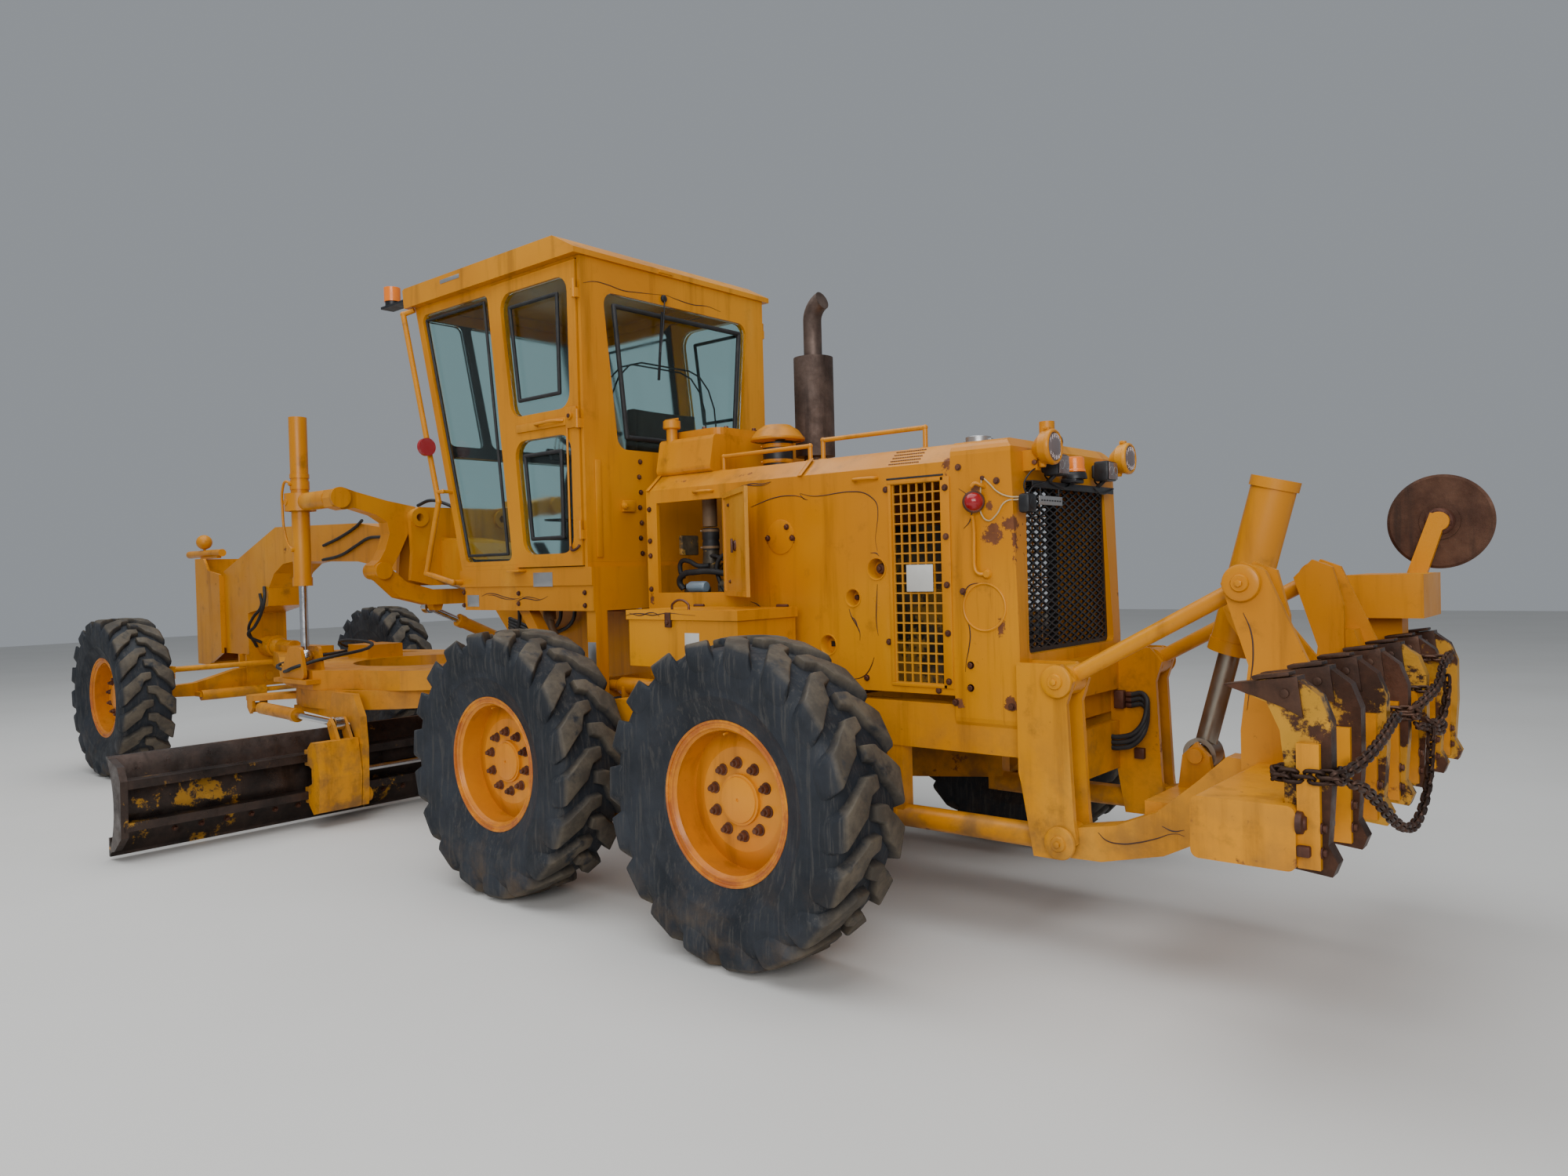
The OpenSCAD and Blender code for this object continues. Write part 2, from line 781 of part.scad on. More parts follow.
module carriage_solid() {
    in0 = rip_arm_y0 - 6 - 26;
    in1 = rip_arm_y0 - 6;
    out0 = rip_arm_y1 + 6;
    out1 = rip_arm_y1 + 6 + 26;
    tower = [
        [-2560, 760], [-2560, 1000], [-2590, 1230], [-2500, 1518], [-2573, 1592], [-2650, 1560],
        [-2790, 1234], [-2850, 1000], [-2850, 760],
    ];
    tower_in = [
        [-2560, 760], [-2560, 1000], [-2590, 1230], [-2500, 1518], [-2573, 1592], [-2650, 1560],
        [-2690, 1400], [-2690, 1213], [-2803, 1168], [-2840, 1090], [-2850, 1000], [-2850, 760],
    ];
    brace = [[-2390, 1360], [-2370, 1420], [-2410, 1480], [-2470, 1450], [-2900, 890], [-2700, 890]];
    t = rip_trunnion;
    color([0.82, 0.56, 0.10])
        union() {
            difference() {
                side_plate(rounded([[beam_x0, beam_z0], [beam_x1, beam_z0], [beam_x1, beam_z1],
                    [beam_x0, beam_z1]], 25), [-rip_beam_y, rip_beam_y]);
                both_sides()
                    slab([beam_x0 + 80, beam_x1 + 5], [in1, out0], [beam_z0 - 5, beam_z1 + 5]);
                for (i = [0:shanks - 1])
                    slab([beam_x0 - 5, beam_x0 + 45], [shank_y(i) - shank_t / 2 - 1, shank_y(i) + shank_t / 2 + 1],
                        [beam_z0 - 5, beam_z1 + 5]);
            }
            both_sides() {
                side_plate(tower_in, [in0, in1]);
                side_plate(tower, [out0, out1]);
                round_y(rip_pin_r, rip_c[0], rip_c[1], [in0, out1 + 14]);
                round_y(rip_pin_r, rip_d[0], rip_d[1], [in0, out1 + 14]);
                side_plate([[-2650, 1300], [-2720, 1300], [-2850, 890], [-2780, 890]], [in1 - 1, out1]);
                side_plate(brace, [rip_barrel_r + 12, rip_barrel_r + 40]);
            }
            for (i = [0:shanks - 1])
                for (s = [-1, 1])
                    slab([beam_x0 - 60, beam_x0 + 1],
                        [shank_y(i) + s * (shank_t / 2 + 12) - 11, shank_y(i) + s * (shank_t / 2 + 12) + 11],
                        [beam_z0 + 10, beam_z1 + 180]);
            slab([-2830, -2700], [-900, -770], [beam_z1 - 1, 1340]);
            slab([-2930, -2640], [-1060, -660], [1335, 1520]);
            side_plate([[-2880, 1515], [-2800, 1515], [-2895, cutter_z + 40], [-2960, cutter_z + 20]],
                [cutter_y + 20, cutter_y + 55]);
            round_y(42, cutter_x, cutter_z, [cutter_y + 20, cutter_y + 55]);
            round_y(25, cutter_x, cutter_z, [cutter_y - 40, cutter_y + 55]);
        }
}

module edge_cutter() {
    color([0.25, 0.14, 0.09])
        translate([cutter_x, cutter_y + 14, cutter_z])
            rotate([90, 0, 0])
                difference() {
                    rotate_extrude($fn = 72)
                        polygon([[0, 0], [80, 0], [80, 10], [cutter_r - 12, 10], [cutter_r, 14],
                            [cutter_r - 12, 18], [80, 18], [70, 40], [0, 40]]);
                    translate([0, 0, -1])
                        cylinder(r = 25 + fit, h = 60);
                }
}

module ripper_shanks() {
    shank = [
        [-2960, 700], [-3060, 690], [-3075, 730], [-3050, 780], [-3062, 950], [-3062, 1130],
        [-3035, 1205], [-2980, 1248], [-2900, 1250], [-2775, 1225], [-2890, 1180], [-2925, 1100],
        [-2935, 1000], [-2935, 760],
    ];
    color([0.22, 0.14, 0.10])
        for (i = [0:shanks - 1])
            side_plate([for (p = shank) [p[0] + 75, p[1]]], [shank_y(i) - shank_t / 2, shank_y(i) + shank_t / 2]);
}

module chain_link() {
    r = 9;
    half = 20;
    w = 17;
    union() {
        for (s = [-1, 1]) {
            translate([s * half, 0, 0])
                rotate([0, 0, s > 0 ? -90 : 90])
                    rotate_extrude(angle = 180, $fn = 24)
                        translate([w, 0])
                            circle(r = r, $fn = 16);
            translate([-half, s * w, 0])
                rotate([0, 90, 0])
                    cylinder(r = r, h = 2 * half, $fn = 16);
        }
    }
}

// Chain: a run along the shanks and a hanging loop, as linked steps of one pitch
chain_run = 13;
chain_loop = 24;
chain_pitch = 55.7;
function chain_angle(i) = i < chain_run ? 0 : 60 - 120 * (i - chain_run) / chain_loop;
function chain_at(i) = i == 0 ? [shank_y(6), 950]
    : chain_at(i - 1) - chain_pitch * [cos(chain_angle(i - 0.5)), sin(chain_angle(i - 0.5))];

module ripper_chain() {
    x = beam_x0 - 87 - 26 - seat;
    color([0.20, 0.15, 0.12])
        for (i = [0:chain_run + chain_loop])
            let (p = chain_at(i))
            translate([x, p[0], p[1]])
                rotate([chain_angle(i), 0, 0])
                    rotate([0, 0, 90])
                        rotate([i % 2 == 0 ? 0 : 90, 0, 0])
                            chain_link();
}

module ripper_barrel() {
    pin = rip_barrel_r + 42;
    e = [rip_eye[0], 0, rip_eye[1]];
    t = [rip_trunnion[0], 0, rip_trunnion[1]];
    color([0.82, 0.56, 0.10])
        difference() {
            along(e, t) {
                z = norm(t - e);
                union() {
                    translate([0, 0, z - 190])
                        cylinder(r = rip_barrel_r, h = 690);
                    translate([0, 0, z + 470])
                        cylinder(r = rip_barrel_r + 8, h = 40);
                    translate([0, 0, z - 200])
                        cylinder(r = rip_barrel_r + 4, h = 50);
                    translate([0, pin, z])
                        rotate([90, 0, 0])
                            cylinder(r = rip_pin_r, h = 2 * pin);
                }
            }
            along(e, t)
                translate([0, 0, norm(t - e) - 210])
                    cylinder(r = rip_rod_r + fit, h = 660);
        }
}

module ripper_rod() {
    e = [rip_eye[0], 0, rip_eye[1]];
    t = [rip_trunnion[0], 0, rip_trunnion[1]];
    color([0.45, 0.42, 0.38])
        difference() {
            union() {
                along(e, t)
                    translate([0, 0, 30])
                        cylinder(r = rip_rod_r, h = 780);
                round_y(66, e[0], e[2], [-50, 50]);
            }
            round_y(rip_pin_r + 16, e[0], e[2], [-55, 55]);
        }
}

// Front frame
ball_x = wheelbase - ball_back;
leg_x0 = wheelbase - 90;
leg_x1 = wheelbase + 410;
leg_low = 950;
beam_profile = [
    [hitch_x, hitch_low + gap], [1700, hitch_low + gap], [2080, 1010], [2560, 1500], [4300, 1760],
    [leg_x0 - 970, 1790], [leg_x0 - 750, 1770], [leg_x0 - 570, 1690], [leg_x0 - 455, 1560],
    [leg_x0 - 430, 1400], [leg_x0, 1330], [leg_x0, leg_low], [leg_x1, leg_low], [leg_x1, 1730],
    [leg_x0 - 620, 2100], [4290, 2065], [2700, 1850],
    [2300, 1610], [1960, 1380], [830, 1380], [770, hitch_high - gap], [hitch_x, hitch_high - gap],
];
axle_pin_z = 740;
saddle_x0 = 3140;
saddle_x1 = 3260;

module main_frame() {
    saddle = [[-420, 1600], [-250, 1560], [250, 1560], [420, 1600], [400, 1800], [410, 2060], [340, 2120],
        [-340, 2120], [-410, 2060], [-400, 1800]];
    color([0.82, 0.56, 0.10])
        difference() {
            union() {
                side_plate(beam_profile, [-beam_y, beam_y]);
                round_z(hitch_r - 10, hitch_x, 0, [hitch_low + gap, hitch_high - gap]);
                cross_plate(saddle, [saddle_x0 - gap - 40, saddle_x0 - gap]);
                cross_plate(saddle, [saddle_x1 + gap, saddle_x1 + gap + 40]);
                for (x = [leg_x0, leg_x0 + 150])
                    slab([x, x + 30], [-200, 200], [axle_pin_z - 90, leg_low + 1]);
                round_x(40, 0, axle_pin_z, [leg_x0 - 15, leg_x0 + 195]);
                round_x(100, 0, ball_z, [ball_x + 25, leg_x0 + 1]);
            }
            round_z(hitch_pin_d / 2 + fit, hitch_x, 0, [hitch_low - 5, hitch_high + 5]);
            both_sides()
                round_x(66 + seat, 345, 2045, [saddle_x0 - 60, saddle_x1 + 60]);
            translate([ball_x, 0, ball_z])
                sphere(r = 85 + seat);
        }
}

post_z0 = 830;
post_z1 = 1860;
bolt_y = 150;
bolt_z0 = 950;
bolt_z1 = 1450;
bolt_r = 13;

module front_post() {
    tube_z = 1910;
    tube_y = 150;
    color([0.82, 0.56, 0.10]) {
        difference() {
            union() {
                both_sides()
                    side_plate([[leg_x1 + seat, post_z0 + 120], [post_front - 260, post_z0], [post_front, post_z0],
                        [post_front, post_z1], [post_front - 200, post_z1], [post_front - 300, 1740],
                        [leg_x1 + seat, 1700]], [post_y - 25, post_y]);
                slab([post_front - 30, post_front], [-post_y, post_y], [post_z0, post_z1]);
                slab([post_front - 280, post_front], [-post_y, post_y], [post_z0, post_z0 + 25]);
                slab([leg_x1 + seat, post_front - 250], [-post_y, post_y], [1660, 1685]);
                slab([leg_x1 + seat, leg_x1 + 30], [-post_y, post_y], [1000, 1685]);
            }
            for (y = [-bolt_y, bolt_y])
                for (z = [bolt_z0, bolt_z1])
                    round_x(bolt_r, y, z, [post_front - 35, post_front + 5]);
        }
        union() {
            slab([post_front - 400, post_front - 5], [tube_y - 20, tube_y + 20], [post_z1, tube_z - 20]);
            round_x(36, tube_y, tube_z, [post_front - 480, post_front + tube_overhang]);
        }
    }
    color([0.08, 0.08, 0.09])
        union() {
            round_z(12, post_front - 60, tube_y, [tube_z + 35 + seat + 1, tube_z + 70]);
            translate([post_front - 60, tube_y, tube_z + 115])
                sphere(r = 72);
        }
}

eye_r = 62;

module front_axle() {
    x = wheelbase;
    ram_back = 135;
    half = kingpin_y;
    beam = [
        [-half, axle_z - 45], [-620, axle_z - 60], [-260, axle_pin_z - 85], [260, axle_pin_z - 85],
        [620, axle_z - 60], [half, axle_z - 45], [half, axle_z + 45], [620, axle_z + 60],
        [260, axle_pin_z + 85], [-260, axle_pin_z + 85], [-620, axle_z + 60], [-half, axle_z + 45],
    ];
    color([0.80, 0.55, 0.10]) {
        difference() {
            union() {
                cross_plate(beam, [x - 50, x + 50]);
                both_sides()
                    round_z(eye_r, x, half, [axle_z - 80, axle_z + 80]);
            }
            both_sides()
                round_z(kingpin_d / 2 + fit, x, half, [axle_z - 85, axle_z + 85]);
            round_x(40 + fit, 0, axle_pin_z, [x - 60, x + 60]);
        }
        union() {
            round_y(46, x - ram_back, axle_z - 50, [60, 620]);
            slab([x - ram_back - 25, x - 50 - seat], [600, 640], [axle_z - 60, axle_z - 20]);
        }
    }
    color([0.75, 0.75, 0.77])
        round_y(22, x - ram_back, axle_z - 50, [-300, 60 - seat]);
}

arm_z0 = axle_z + 130;
arm_z1 = arm_z0 + 45;

module knuckle(side) {
    x = wheelbase;
    y = kingpin_y;
    web0 = y + eye_r + gap + 4;
    web1 = web0 + 40;
    color([0.78, 0.54, 0.12])
        left_or_right(side)
            union() {
                round_z(kingpin_d / 2, x, y, [axle_z - 130, axle_z + 130]);
                for (z = [axle_z - 130, axle_z + 80 + gap])
                    deck_plate([[x - 75, y - 70], [x + 75, y - 70], [x + 75, web1], [x - 75, web1]],
                        [z, z + 44]);
                slab([x - 90, x + 90], [web0, web1], [axle_z - 130, axle_z + 130]);
                round_y(spindle_d / 2 + 25, x, axle_z, [web1 - 1, wheel_y - hub_in - seat]);
                round_y(spindle_d / 2, x, axle_z, [web1 - 1, wheel_y + hub_out - 20]);
                deck_plate(concat([[x + 75, y - 40], [x + 75, y + 40], [x - 60, y + 50]],
                    [[x - steer_arm, y + 30], [x - steer_arm - 30, y], [x - steer_arm, y - 30],
                    [x - 60, y - 50]]), [axle_z + 129, arm_z1]);
                round_z(15, x - steer_arm, y, [arm_z1 - 1, arm_z1 + 66]);
            }
}

module tie_rod() {
    x = wheelbase - steer_arm;
    z = arm_z1 + gap + 28;
    color([0.80, 0.55, 0.10])
        difference() {
            union() {
                round_y(24, x, z, [-kingpin_y, kingpin_y]);
                both_sides()
                    round_z(32, x, kingpin_y, [z - 28, z + 28]);
            }
            both_sides()
                round_z(15 + fit, x, kingpin_y, [z - 30, z + 40]);
        }
}

ring_in = lift_barrel_r + 14;
ring_out = ring_in + 30;

module lift_arms() {
    z = lift_top[1];
    casting = [
        [790, 2215], [560, 2160], [350, 2125], [285, 2085], [270, 2030], [310, 1975], [380, 1975],
        [420, 1900], [470, 1800], [540, 1690], [560, 1620], [620, 1605], [668, 1640], [668, 1710],
        [625, 1745], [580, 1820], [545, 1930], [560, 2010], [640, 2060], [800, 2105], [870, 2090],
        [lift_y + 45, 2110], [lift_y + 62, z], [lift_y + 45, 2225], [870, 2240],
    ];
    color([0.82, 0.56, 0.10])
        lock_bar();
    color([0.82, 0.56, 0.10])
        both_sides()
            difference() {
                union() {
                    cross_plate(casting, [saddle_x0, saddle_x1]);
                    round_x(66, 345, 2045, [saddle_x0 - gap - 60, saddle_x1 + gap + 60]);
                    round_x(60, 612, 1672, [saddle_x0 - 35, saddle_x1 + 35]);
                    round_x(63, lift_y, z, [saddle_x1 - 1, lift_top[0] - ring_out + 8]);
                    round_x(70, lift_y, z, [saddle_x0 - 30, saddle_x0 + 1]);
                    round_z(ring_out, lift_top[0], lift_y, [z - 62, z + 62]);
                }
                round_z(ring_in, lift_top[0], lift_y, [z - 65, z + 65]);
                round_y(24 + fit, lift_top[0], z, [lift_y - ring_out - 5, lift_y + ring_out + 5]);
                round_x(28, 345, 2045, [saddle_x0 - 80, saddle_x1 + 80]);
            }
}

module lift_barrel(side) {
    z = lift_top[1];
    p = [lift_top[0], lift_y, z];
    q = [lift_foot[0], lift_y, lift_foot[1]];
    color([0.82, 0.56, 0.10])
        left_or_right(side)
            difference() {
                union() {
                    round_z(lift_barrel_r, p[0], p[1], [z - 580, z + 600]);
                    round_z(lift_barrel_r + 6, p[0], p[1], [z - 590, z - 530]);
                    round_z(lift_barrel_r + 5, p[0], p[1], [z + 90, z + 150]);
                    round_z(lift_barrel_r + 5, p[0], p[1], [z + 170, z + 200]);
                    round_y(24, p[0], z, [lift_y - ring_out - 4, lift_y + ring_out + 4]);
                }
                round_z(lift_rod_r + fit, p[0], p[1], [z - 595, z + 560]);
            }
}

module lift_rod(side) {
    z = lift_foot[1];
    color([0.80, 0.80, 0.82])
        left_or_right(side)
            difference() {
                union() {
                    round_z(lift_rod_r, lift_foot[0], lift_y, [z, z + 690]);
                    translate([lift_foot[0], lift_y, z])
                        sphere(r = 50);
                }
                round_y(lift_pin_r + 10, lift_foot[0], z, [lift_y - 60, lift_y + 60]);
            }
}

bar_top = 985;
circle_top = circle_z + circle_h;

module drawbar() {
    tongue = [
        [ball_x - 40, -75], [ball_x - 40, 75], [ball_x - 450, 210], [4700, 640], [4300, 800], [3850, 930],
        [3550, 930], [3300, 760], [2900, 640], [2640, 420], [2640, -420], [2900, -640], [3300, -760],
        [3550, -930], [3850, -930], [4300, -800], [4700, -640], [ball_x - 450, -210],
    ];
    window = [
        [ball_x - 650, 120], [4650, 500], [4200, 560], [4200, -560], [4650, -500], [ball_x - 650, -120],
    ];
    color([0.82, 0.56, 0.10])
        difference() {
            union() {
                difference() {
                    deck_plate(tongue, [circle_top + seat, bar_top]);
                    deck_plate(window, [circle_top - 5, bar_top + 5]);
                    translate([0, 0, circle_top - 5])
                        linear_extrude(bar_top)
                            translate([circle_x, 0])
                                circle(r = 520);
                }
                round_x(62, 0, ball_z, [ball_x - 330, ball_x - 20]);
                translate([ball_x, 0, ball_z])
                    sphere(r = 85);
                deck_plate([[ball_x - 750, -150], [ball_x - 60, -60], [ball_x - 60, 60], [ball_x - 750, 150]],
                    [bar_top - 5, 1040]);
                both_sides() {
                    for (y = [lift_y - 50 - 26, lift_y + 50 + 2])
                        side_plate(rounded([[3560, bar_top - 60], [3950, bar_top - 60], [3790, 1150], [3610, 1150]],
                            40), [y, y + 24]);
                    slab([3500, 4000], [lift_y - 90, lift_y + 95], [bar_top - 90, bar_top - 60]);
                    round_y(lift_pin_r, lift_foot[0], lift_foot[1], [lift_y - 76, lift_y + 76]);
                }
                for (x = [centre_foot[0] - 60, centre_foot[0] + 38])
                    cross_plate([[centre_foot[1] - 60, bar_top - 5], [centre_foot[1] + 60, bar_top - 5],
                        [centre_foot[1] + 34, centre_foot[2] + 30], [centre_foot[1] - 34, centre_foot[2] + 30]],
                        [x, x + 22]);
                round_x(20, centre_foot[1], centre_foot[2], [centre_foot[0] - 62, centre_foot[0] + 62]);
                slab([4240, 4560], [-150, 150], [bar_top - 1, 1090]);
                slab([4200, 4600], [-560, 560], [bar_top - 100, bar_top]);
                for (a = [20:45:340])
                    translate([circle_x, 0, 0])
                        rotate([0, 0, a])
                            rotate_extrude(angle = 14)
                                polygon([[500, circle_z + 20], [838, circle_z + 20], [838, circle_z + 50 - 0.3],
                                    [765, circle_z + 50 - 0.3], [765, circle_top + 1], [500, circle_top + 1]]);
            }
        }
}

module circle_ring() {
    tooth_in = 778;
    root = 800;
    pitch = 360 / circle_teeth;
    teeth = [
        for (i = [0:circle_teeth - 1])
            for (t = [[0.05, root], [0.22, tooth_in], [0.48, tooth_in], [0.65, root]])
                t[1] * [cos((i + t[0]) * pitch), sin((i + t[0]) * pitch)]
    ];
    translate([circle_x, 0, 0])
        union() {
            translate([0, 0, circle_z])
                linear_extrude(circle_h)
                    difference() {
                        circle(r = circle_r, $fn = 96);
                        circle(r = circle_r - 60, $fn = 96);
                    }
            translate([0, 0, circle_z + 50])
                linear_extrude(40)
                    difference() {
                        circle(r = circle_r - 40, $fn = 96);
                        polygon(teeth);
                    }
        }
}

module blade_circle() {
    ear = [
        [2960, 170], [2975, 110], [3065, 110], [3080, 170], [3050, 300], [3050, 560], [3120, 650],
        [3923, 690], [3923, circle_z + 1], [3390, circle_z + 1], [3345, circle_top - 6],
        [3060, circle_top - 6], [2970, 700], [2950, 500],
    ];
    b = tip_base;
    color([0.78, 0.53, 0.10])
        difference() {
            union() {
                circle_ring();
                both_sides()
                    side_plate(ear, [ear_y0, ear_y1]);
                deck_plate([[4090, 720], [4290, 560], [4400, 900], [4390, 1035], [4270, 1035], [4180, 860]],
                    [circle_z + 20, circle_z + 60]);
                for (y = [tip_y - 56, tip_y + 34])
                    side_plate([[b[0] - 45, b[1]], [b[0], b[1] - 45], [b[0] + 45, b[1]], [b[0] + 45, circle_z + 21],
                        [b[0] - 45, circle_z + 21]], [y, y + 22]);
                round_y(22, b[0], b[1], [tip_y - 56, tip_y + 56]);
            }
            both_sides()
                round_y(30 + fit, blade_pivot[0], blade_pivot[1], [ear_y0 - 5, ear_y1 + 5]);
        }
}

rail_x0 = 3112;
rail_low = [185, 235];
rail_high = [430, 480];

module blade_carrier() {
    y0 = ear_y1 + gap;
    y1 = 1190;
    face = rail_x0 - 4;
    bracket = [
        [2975, 110], [3050, 90], [face, 150], [face, 270], [3060, 290], [3060, 390],
        [face, 410], [face, 520], [3060, 560], [2990, 560], [2950, 330],
    ];
    module shoe(z) {
        difference() {
            slab([face - 20, face + 45], [y0, y1], [z[0] - 26, z[1] + 26]);
            slab([rail_x0 - seat, face + 50], [y0 - 5, y1 + 5], [z[0] - seat, z[1] + seat]);
        }
    }
    color([0.80, 0.55, 0.10])
        union() {
            both_sides()
                union() {
                    side_plate(bracket, [y0, y1]);
                    shoe(rail_low);
                    shoe(rail_high);
                    round_y(30, blade_pivot[0], blade_pivot[1], [ear_y0 - 12, y0 + 1]);
                    round_y(48, blade_pivot[0], blade_pivot[1], [ear_y0 - 30, ear_y0 - gap]);
                }
            for (y = [tip_y - 56, tip_y + 34])
                side_plate([[3000, 540], [3095, 540], [tip_foot[0] + 40, tip_foot[1]], [tip_foot[0], tip_foot[1] + 42],
                    [tip_foot[0] - 42, tip_foot[1]]], [y, y + 22]);
            round_y(tip_pin_r, tip_foot[0], tip_foot[1], [tip_y - 60, tip_y + 60]);
            slab([3040, shift_x + 34], [y0 + 20, y0 + 70], [shift_z - 34, shift_z + 34]);
        }
}

blade_y0 = blade_shift - blade_l / 2;
blade_y1 = blade_shift + blade_l / 2;
shift_barrel_y0 = -1500;
shift_barrel_y1 = 250;

module moldboard() {
    half = blade_h / 2;
    cx = blade_chord_x + sqrt(blade_r * blade_r - half * half);
    back = blade_r + blade_t;
    cz = blade_low + half;
    color([0.17, 0.15, 0.15])
        difference() {
            union() {
                difference() {
                    intersection() {
                        round_y(back, cx, cz, [blade_y0, blade_y1]);
                        slab([cx - back - 5, blade_chord_x + 40], [blade_y0, blade_y1], [blade_low, blade_top]);
                    }
                    round_y(blade_r, cx, cz, [blade_y0 - 5, blade_y1 + 5]);
                }
                slab([blade_chord_x - 22, blade_chord_x], [blade_y0, blade_y1], [blade_low - 20, blade_low + 90]);
                for (z = [rail_low, rail_high])
                    slab([rail_x0, cx - back + 45], [blade_y0 + 20, blade_y1 - 20], z);
                for (y = [blade_y0, blade_y1 - 40])
                    difference() {
                        side_plate([[blade_chord_x, blade_low], [3240, blade_low + 20], [3120, blade_low + 110],
                            [3105, 480], [3150, 560], [blade_chord_x, blade_top]], [y, y + 40]);
                        round_y(blade_r + 5, cx, cz, [y - 5, y + 45]);
                    }
                round_y(38, shift_x, shift_z, [shift_barrel_y0, shift_barrel_y1]);
                for (y = [shift_barrel_y0, shift_barrel_y0 + 190])
                    slab([shift_x, cx - back + 15], [y, y + 60], [shift_z - 30, shift_z + 30]);
            }
            round_y(24 + fit, shift_x, shift_z, [shift_barrel_y0 + 250, shift_barrel_y1 + 5]);
        }
}

module shift_rod() {
    color([0.78, 0.78, 0.80])
        round_y(24, shift_x, shift_z, [-600, ear_y1 + gap + 20 - seat]);
}

module tip_barrel() {
    p = [tip_base[0], tip_y, tip_base[1]];
    q = [tip_foot[0], tip_y, tip_foot[1]];
    color([0.80, 0.55, 0.10])
        difference() {
            union() {
                along(p, q)
                    cylinder(r = 30, h = 80);
                along(p, q)
                    translate([0, 0, 68])
                        cylinder(r = 44, h = 572);
                along(p, q)
                    translate([0, 0, 590])
                        cylinder(r = 50, h = 55);
                round_y(36, p[0], p[2], [tip_y - 27, tip_y + 27]);
            }
            along(p, q)
                translate([0, 0, 85])
                    cylinder(r = 22 + fit, h = 600);
            round_y(22 + fit, p[0], p[2], [tip_y - 40, tip_y + 40]);
        }
}

module tip_rod() {
    p = [tip_base[0], tip_y, tip_base[1]];
    q = [tip_foot[0], tip_y, tip_foot[1]];
    color([0.80, 0.80, 0.82])
        difference() {
            union() {
                along(q, p)
                    cylinder(r = 22, h = 860);
                round_y(46, q[0], q[2], [tip_y - 30, tip_y + 30]);
            }
            round_y(tip_pin_r + 17, q[0], q[2], [tip_y - 40, tip_y + 40]);
        }
}

module centre_barrel() {
    color([0.80, 0.55, 0.10])
        difference() {
            union() {
                along(centre_foot, centre_top)
                    cylinder(r = 32, h = 80);
                along(centre_foot, centre_top)
                    translate([0, 0, 68])
                        cylinder(r = 44, h = 522);
                along(centre_foot, centre_top)
                    translate([0, 0, 550])
                        cylinder(r = 50, h = 50);
                round_x(46, centre_foot[1], centre_foot[2], [centre_foot[0] - 33, centre_foot[0] + 33]);
            }
            along(centre_foot, centre_top)
                translate([0, 0, 90])
                    cylinder(r = 24 + fit, h = 600);
            round_x(20 + fit, centre_foot[1], centre_foot[2], [centre_foot[0] - 40, centre_foot[0] + 40]);
        }
}

module centre_rod() {
    color([0.80, 0.80, 0.82])
        difference() {
            union() {
                along(centre_top, centre_foot)
                    cylinder(r = 24, h = 560);
                round_x(46, centre_top[1], centre_top[2], [centre_top[0] - 30, centre_top[0] + 30]);
            }
            round_x(centre_pin_r + 19, centre_top[1], centre_top[2], [centre_top[0] - 40, centre_top[0] + 40]);
        }
}

module lock_bar() {
    outline = [
        [-655, 1640], [-480, 1480], [-250, 1420], [250, 1420], [480, 1480], [655, 1640], [600, 1735],
        [430, 1590], [220, 1530], [-220, 1530], [-430, 1590], [-600, 1735],
    ];
    y = centre_top[1];
    z = centre_top[2];
    cross_plate(outline, [saddle_x0, saddle_x1]);
    cross_plate([[y - 60, z + 70], [y - 30, z - 20], [y, z - 26], [y + 30, z - 20], [y + 60, z + 70]],
        [saddle_x0 + 60, saddle_x1 + 20]);
    round_x(centre_pin_r, y, z, [saddle_x0 + 65, centre_top[0] + 90]);
}

// Cab
cab_top_x = cab_front + cab_lean;
function front_x(z) = cab_front + cab_lean * (z - floor_z) / (roof_z - floor_z);
door_rear = cab_rear + 30;
door_front0 = 1370;
door_lean = 185;
door_low = floor_z + 8;
door_high = roof_z - 20;
function door_x(z) = door_front0 + door_lean * (z - door_low) / (door_high - door_low);

cab_side = [[cab_rear, floor_z], [cab_front, floor_z], [cab_top_x, roof_z], [cab_rear, roof_z]];
door_outline = [[door_rear, door_low], [door_x(door_low), door_low], [door_x(door_high), door_high],
    [door_rear, door_high]];

// Side window between the door and the front post
side_window = [
    [door_x(1700) + 55, 1700], [front_x(1700) - 60, 1700], [front_x(3270) - 60, 3270], [door_x(3270) + 55, 3270],
];
rear_window = [[-500, 2300], [500, 2300], [585, 3160], [-585, 3160]];

// Front windows, y and height up the slanted front
front_panes = [
    [[-690, 60], [690, 60], [690, 730], [-690, 730]],
    [[-690, 800], [-440, 800], [-440, 1650], [-690, 1650]],
    [[-380, 800], [380, 800], [380, 1650], [-380, 1650]],
    [[440, 800], [690, 800], [690, 1650], [440, 1650]],
];
lean_angle = atan2(cab_lean, roof_z - floor_z);

module on_front() {
    translate([cab_front, 0, floor_z])
        rotate([0, lean_angle, 0])
            rotate([90, 0, 90])
                children();
}

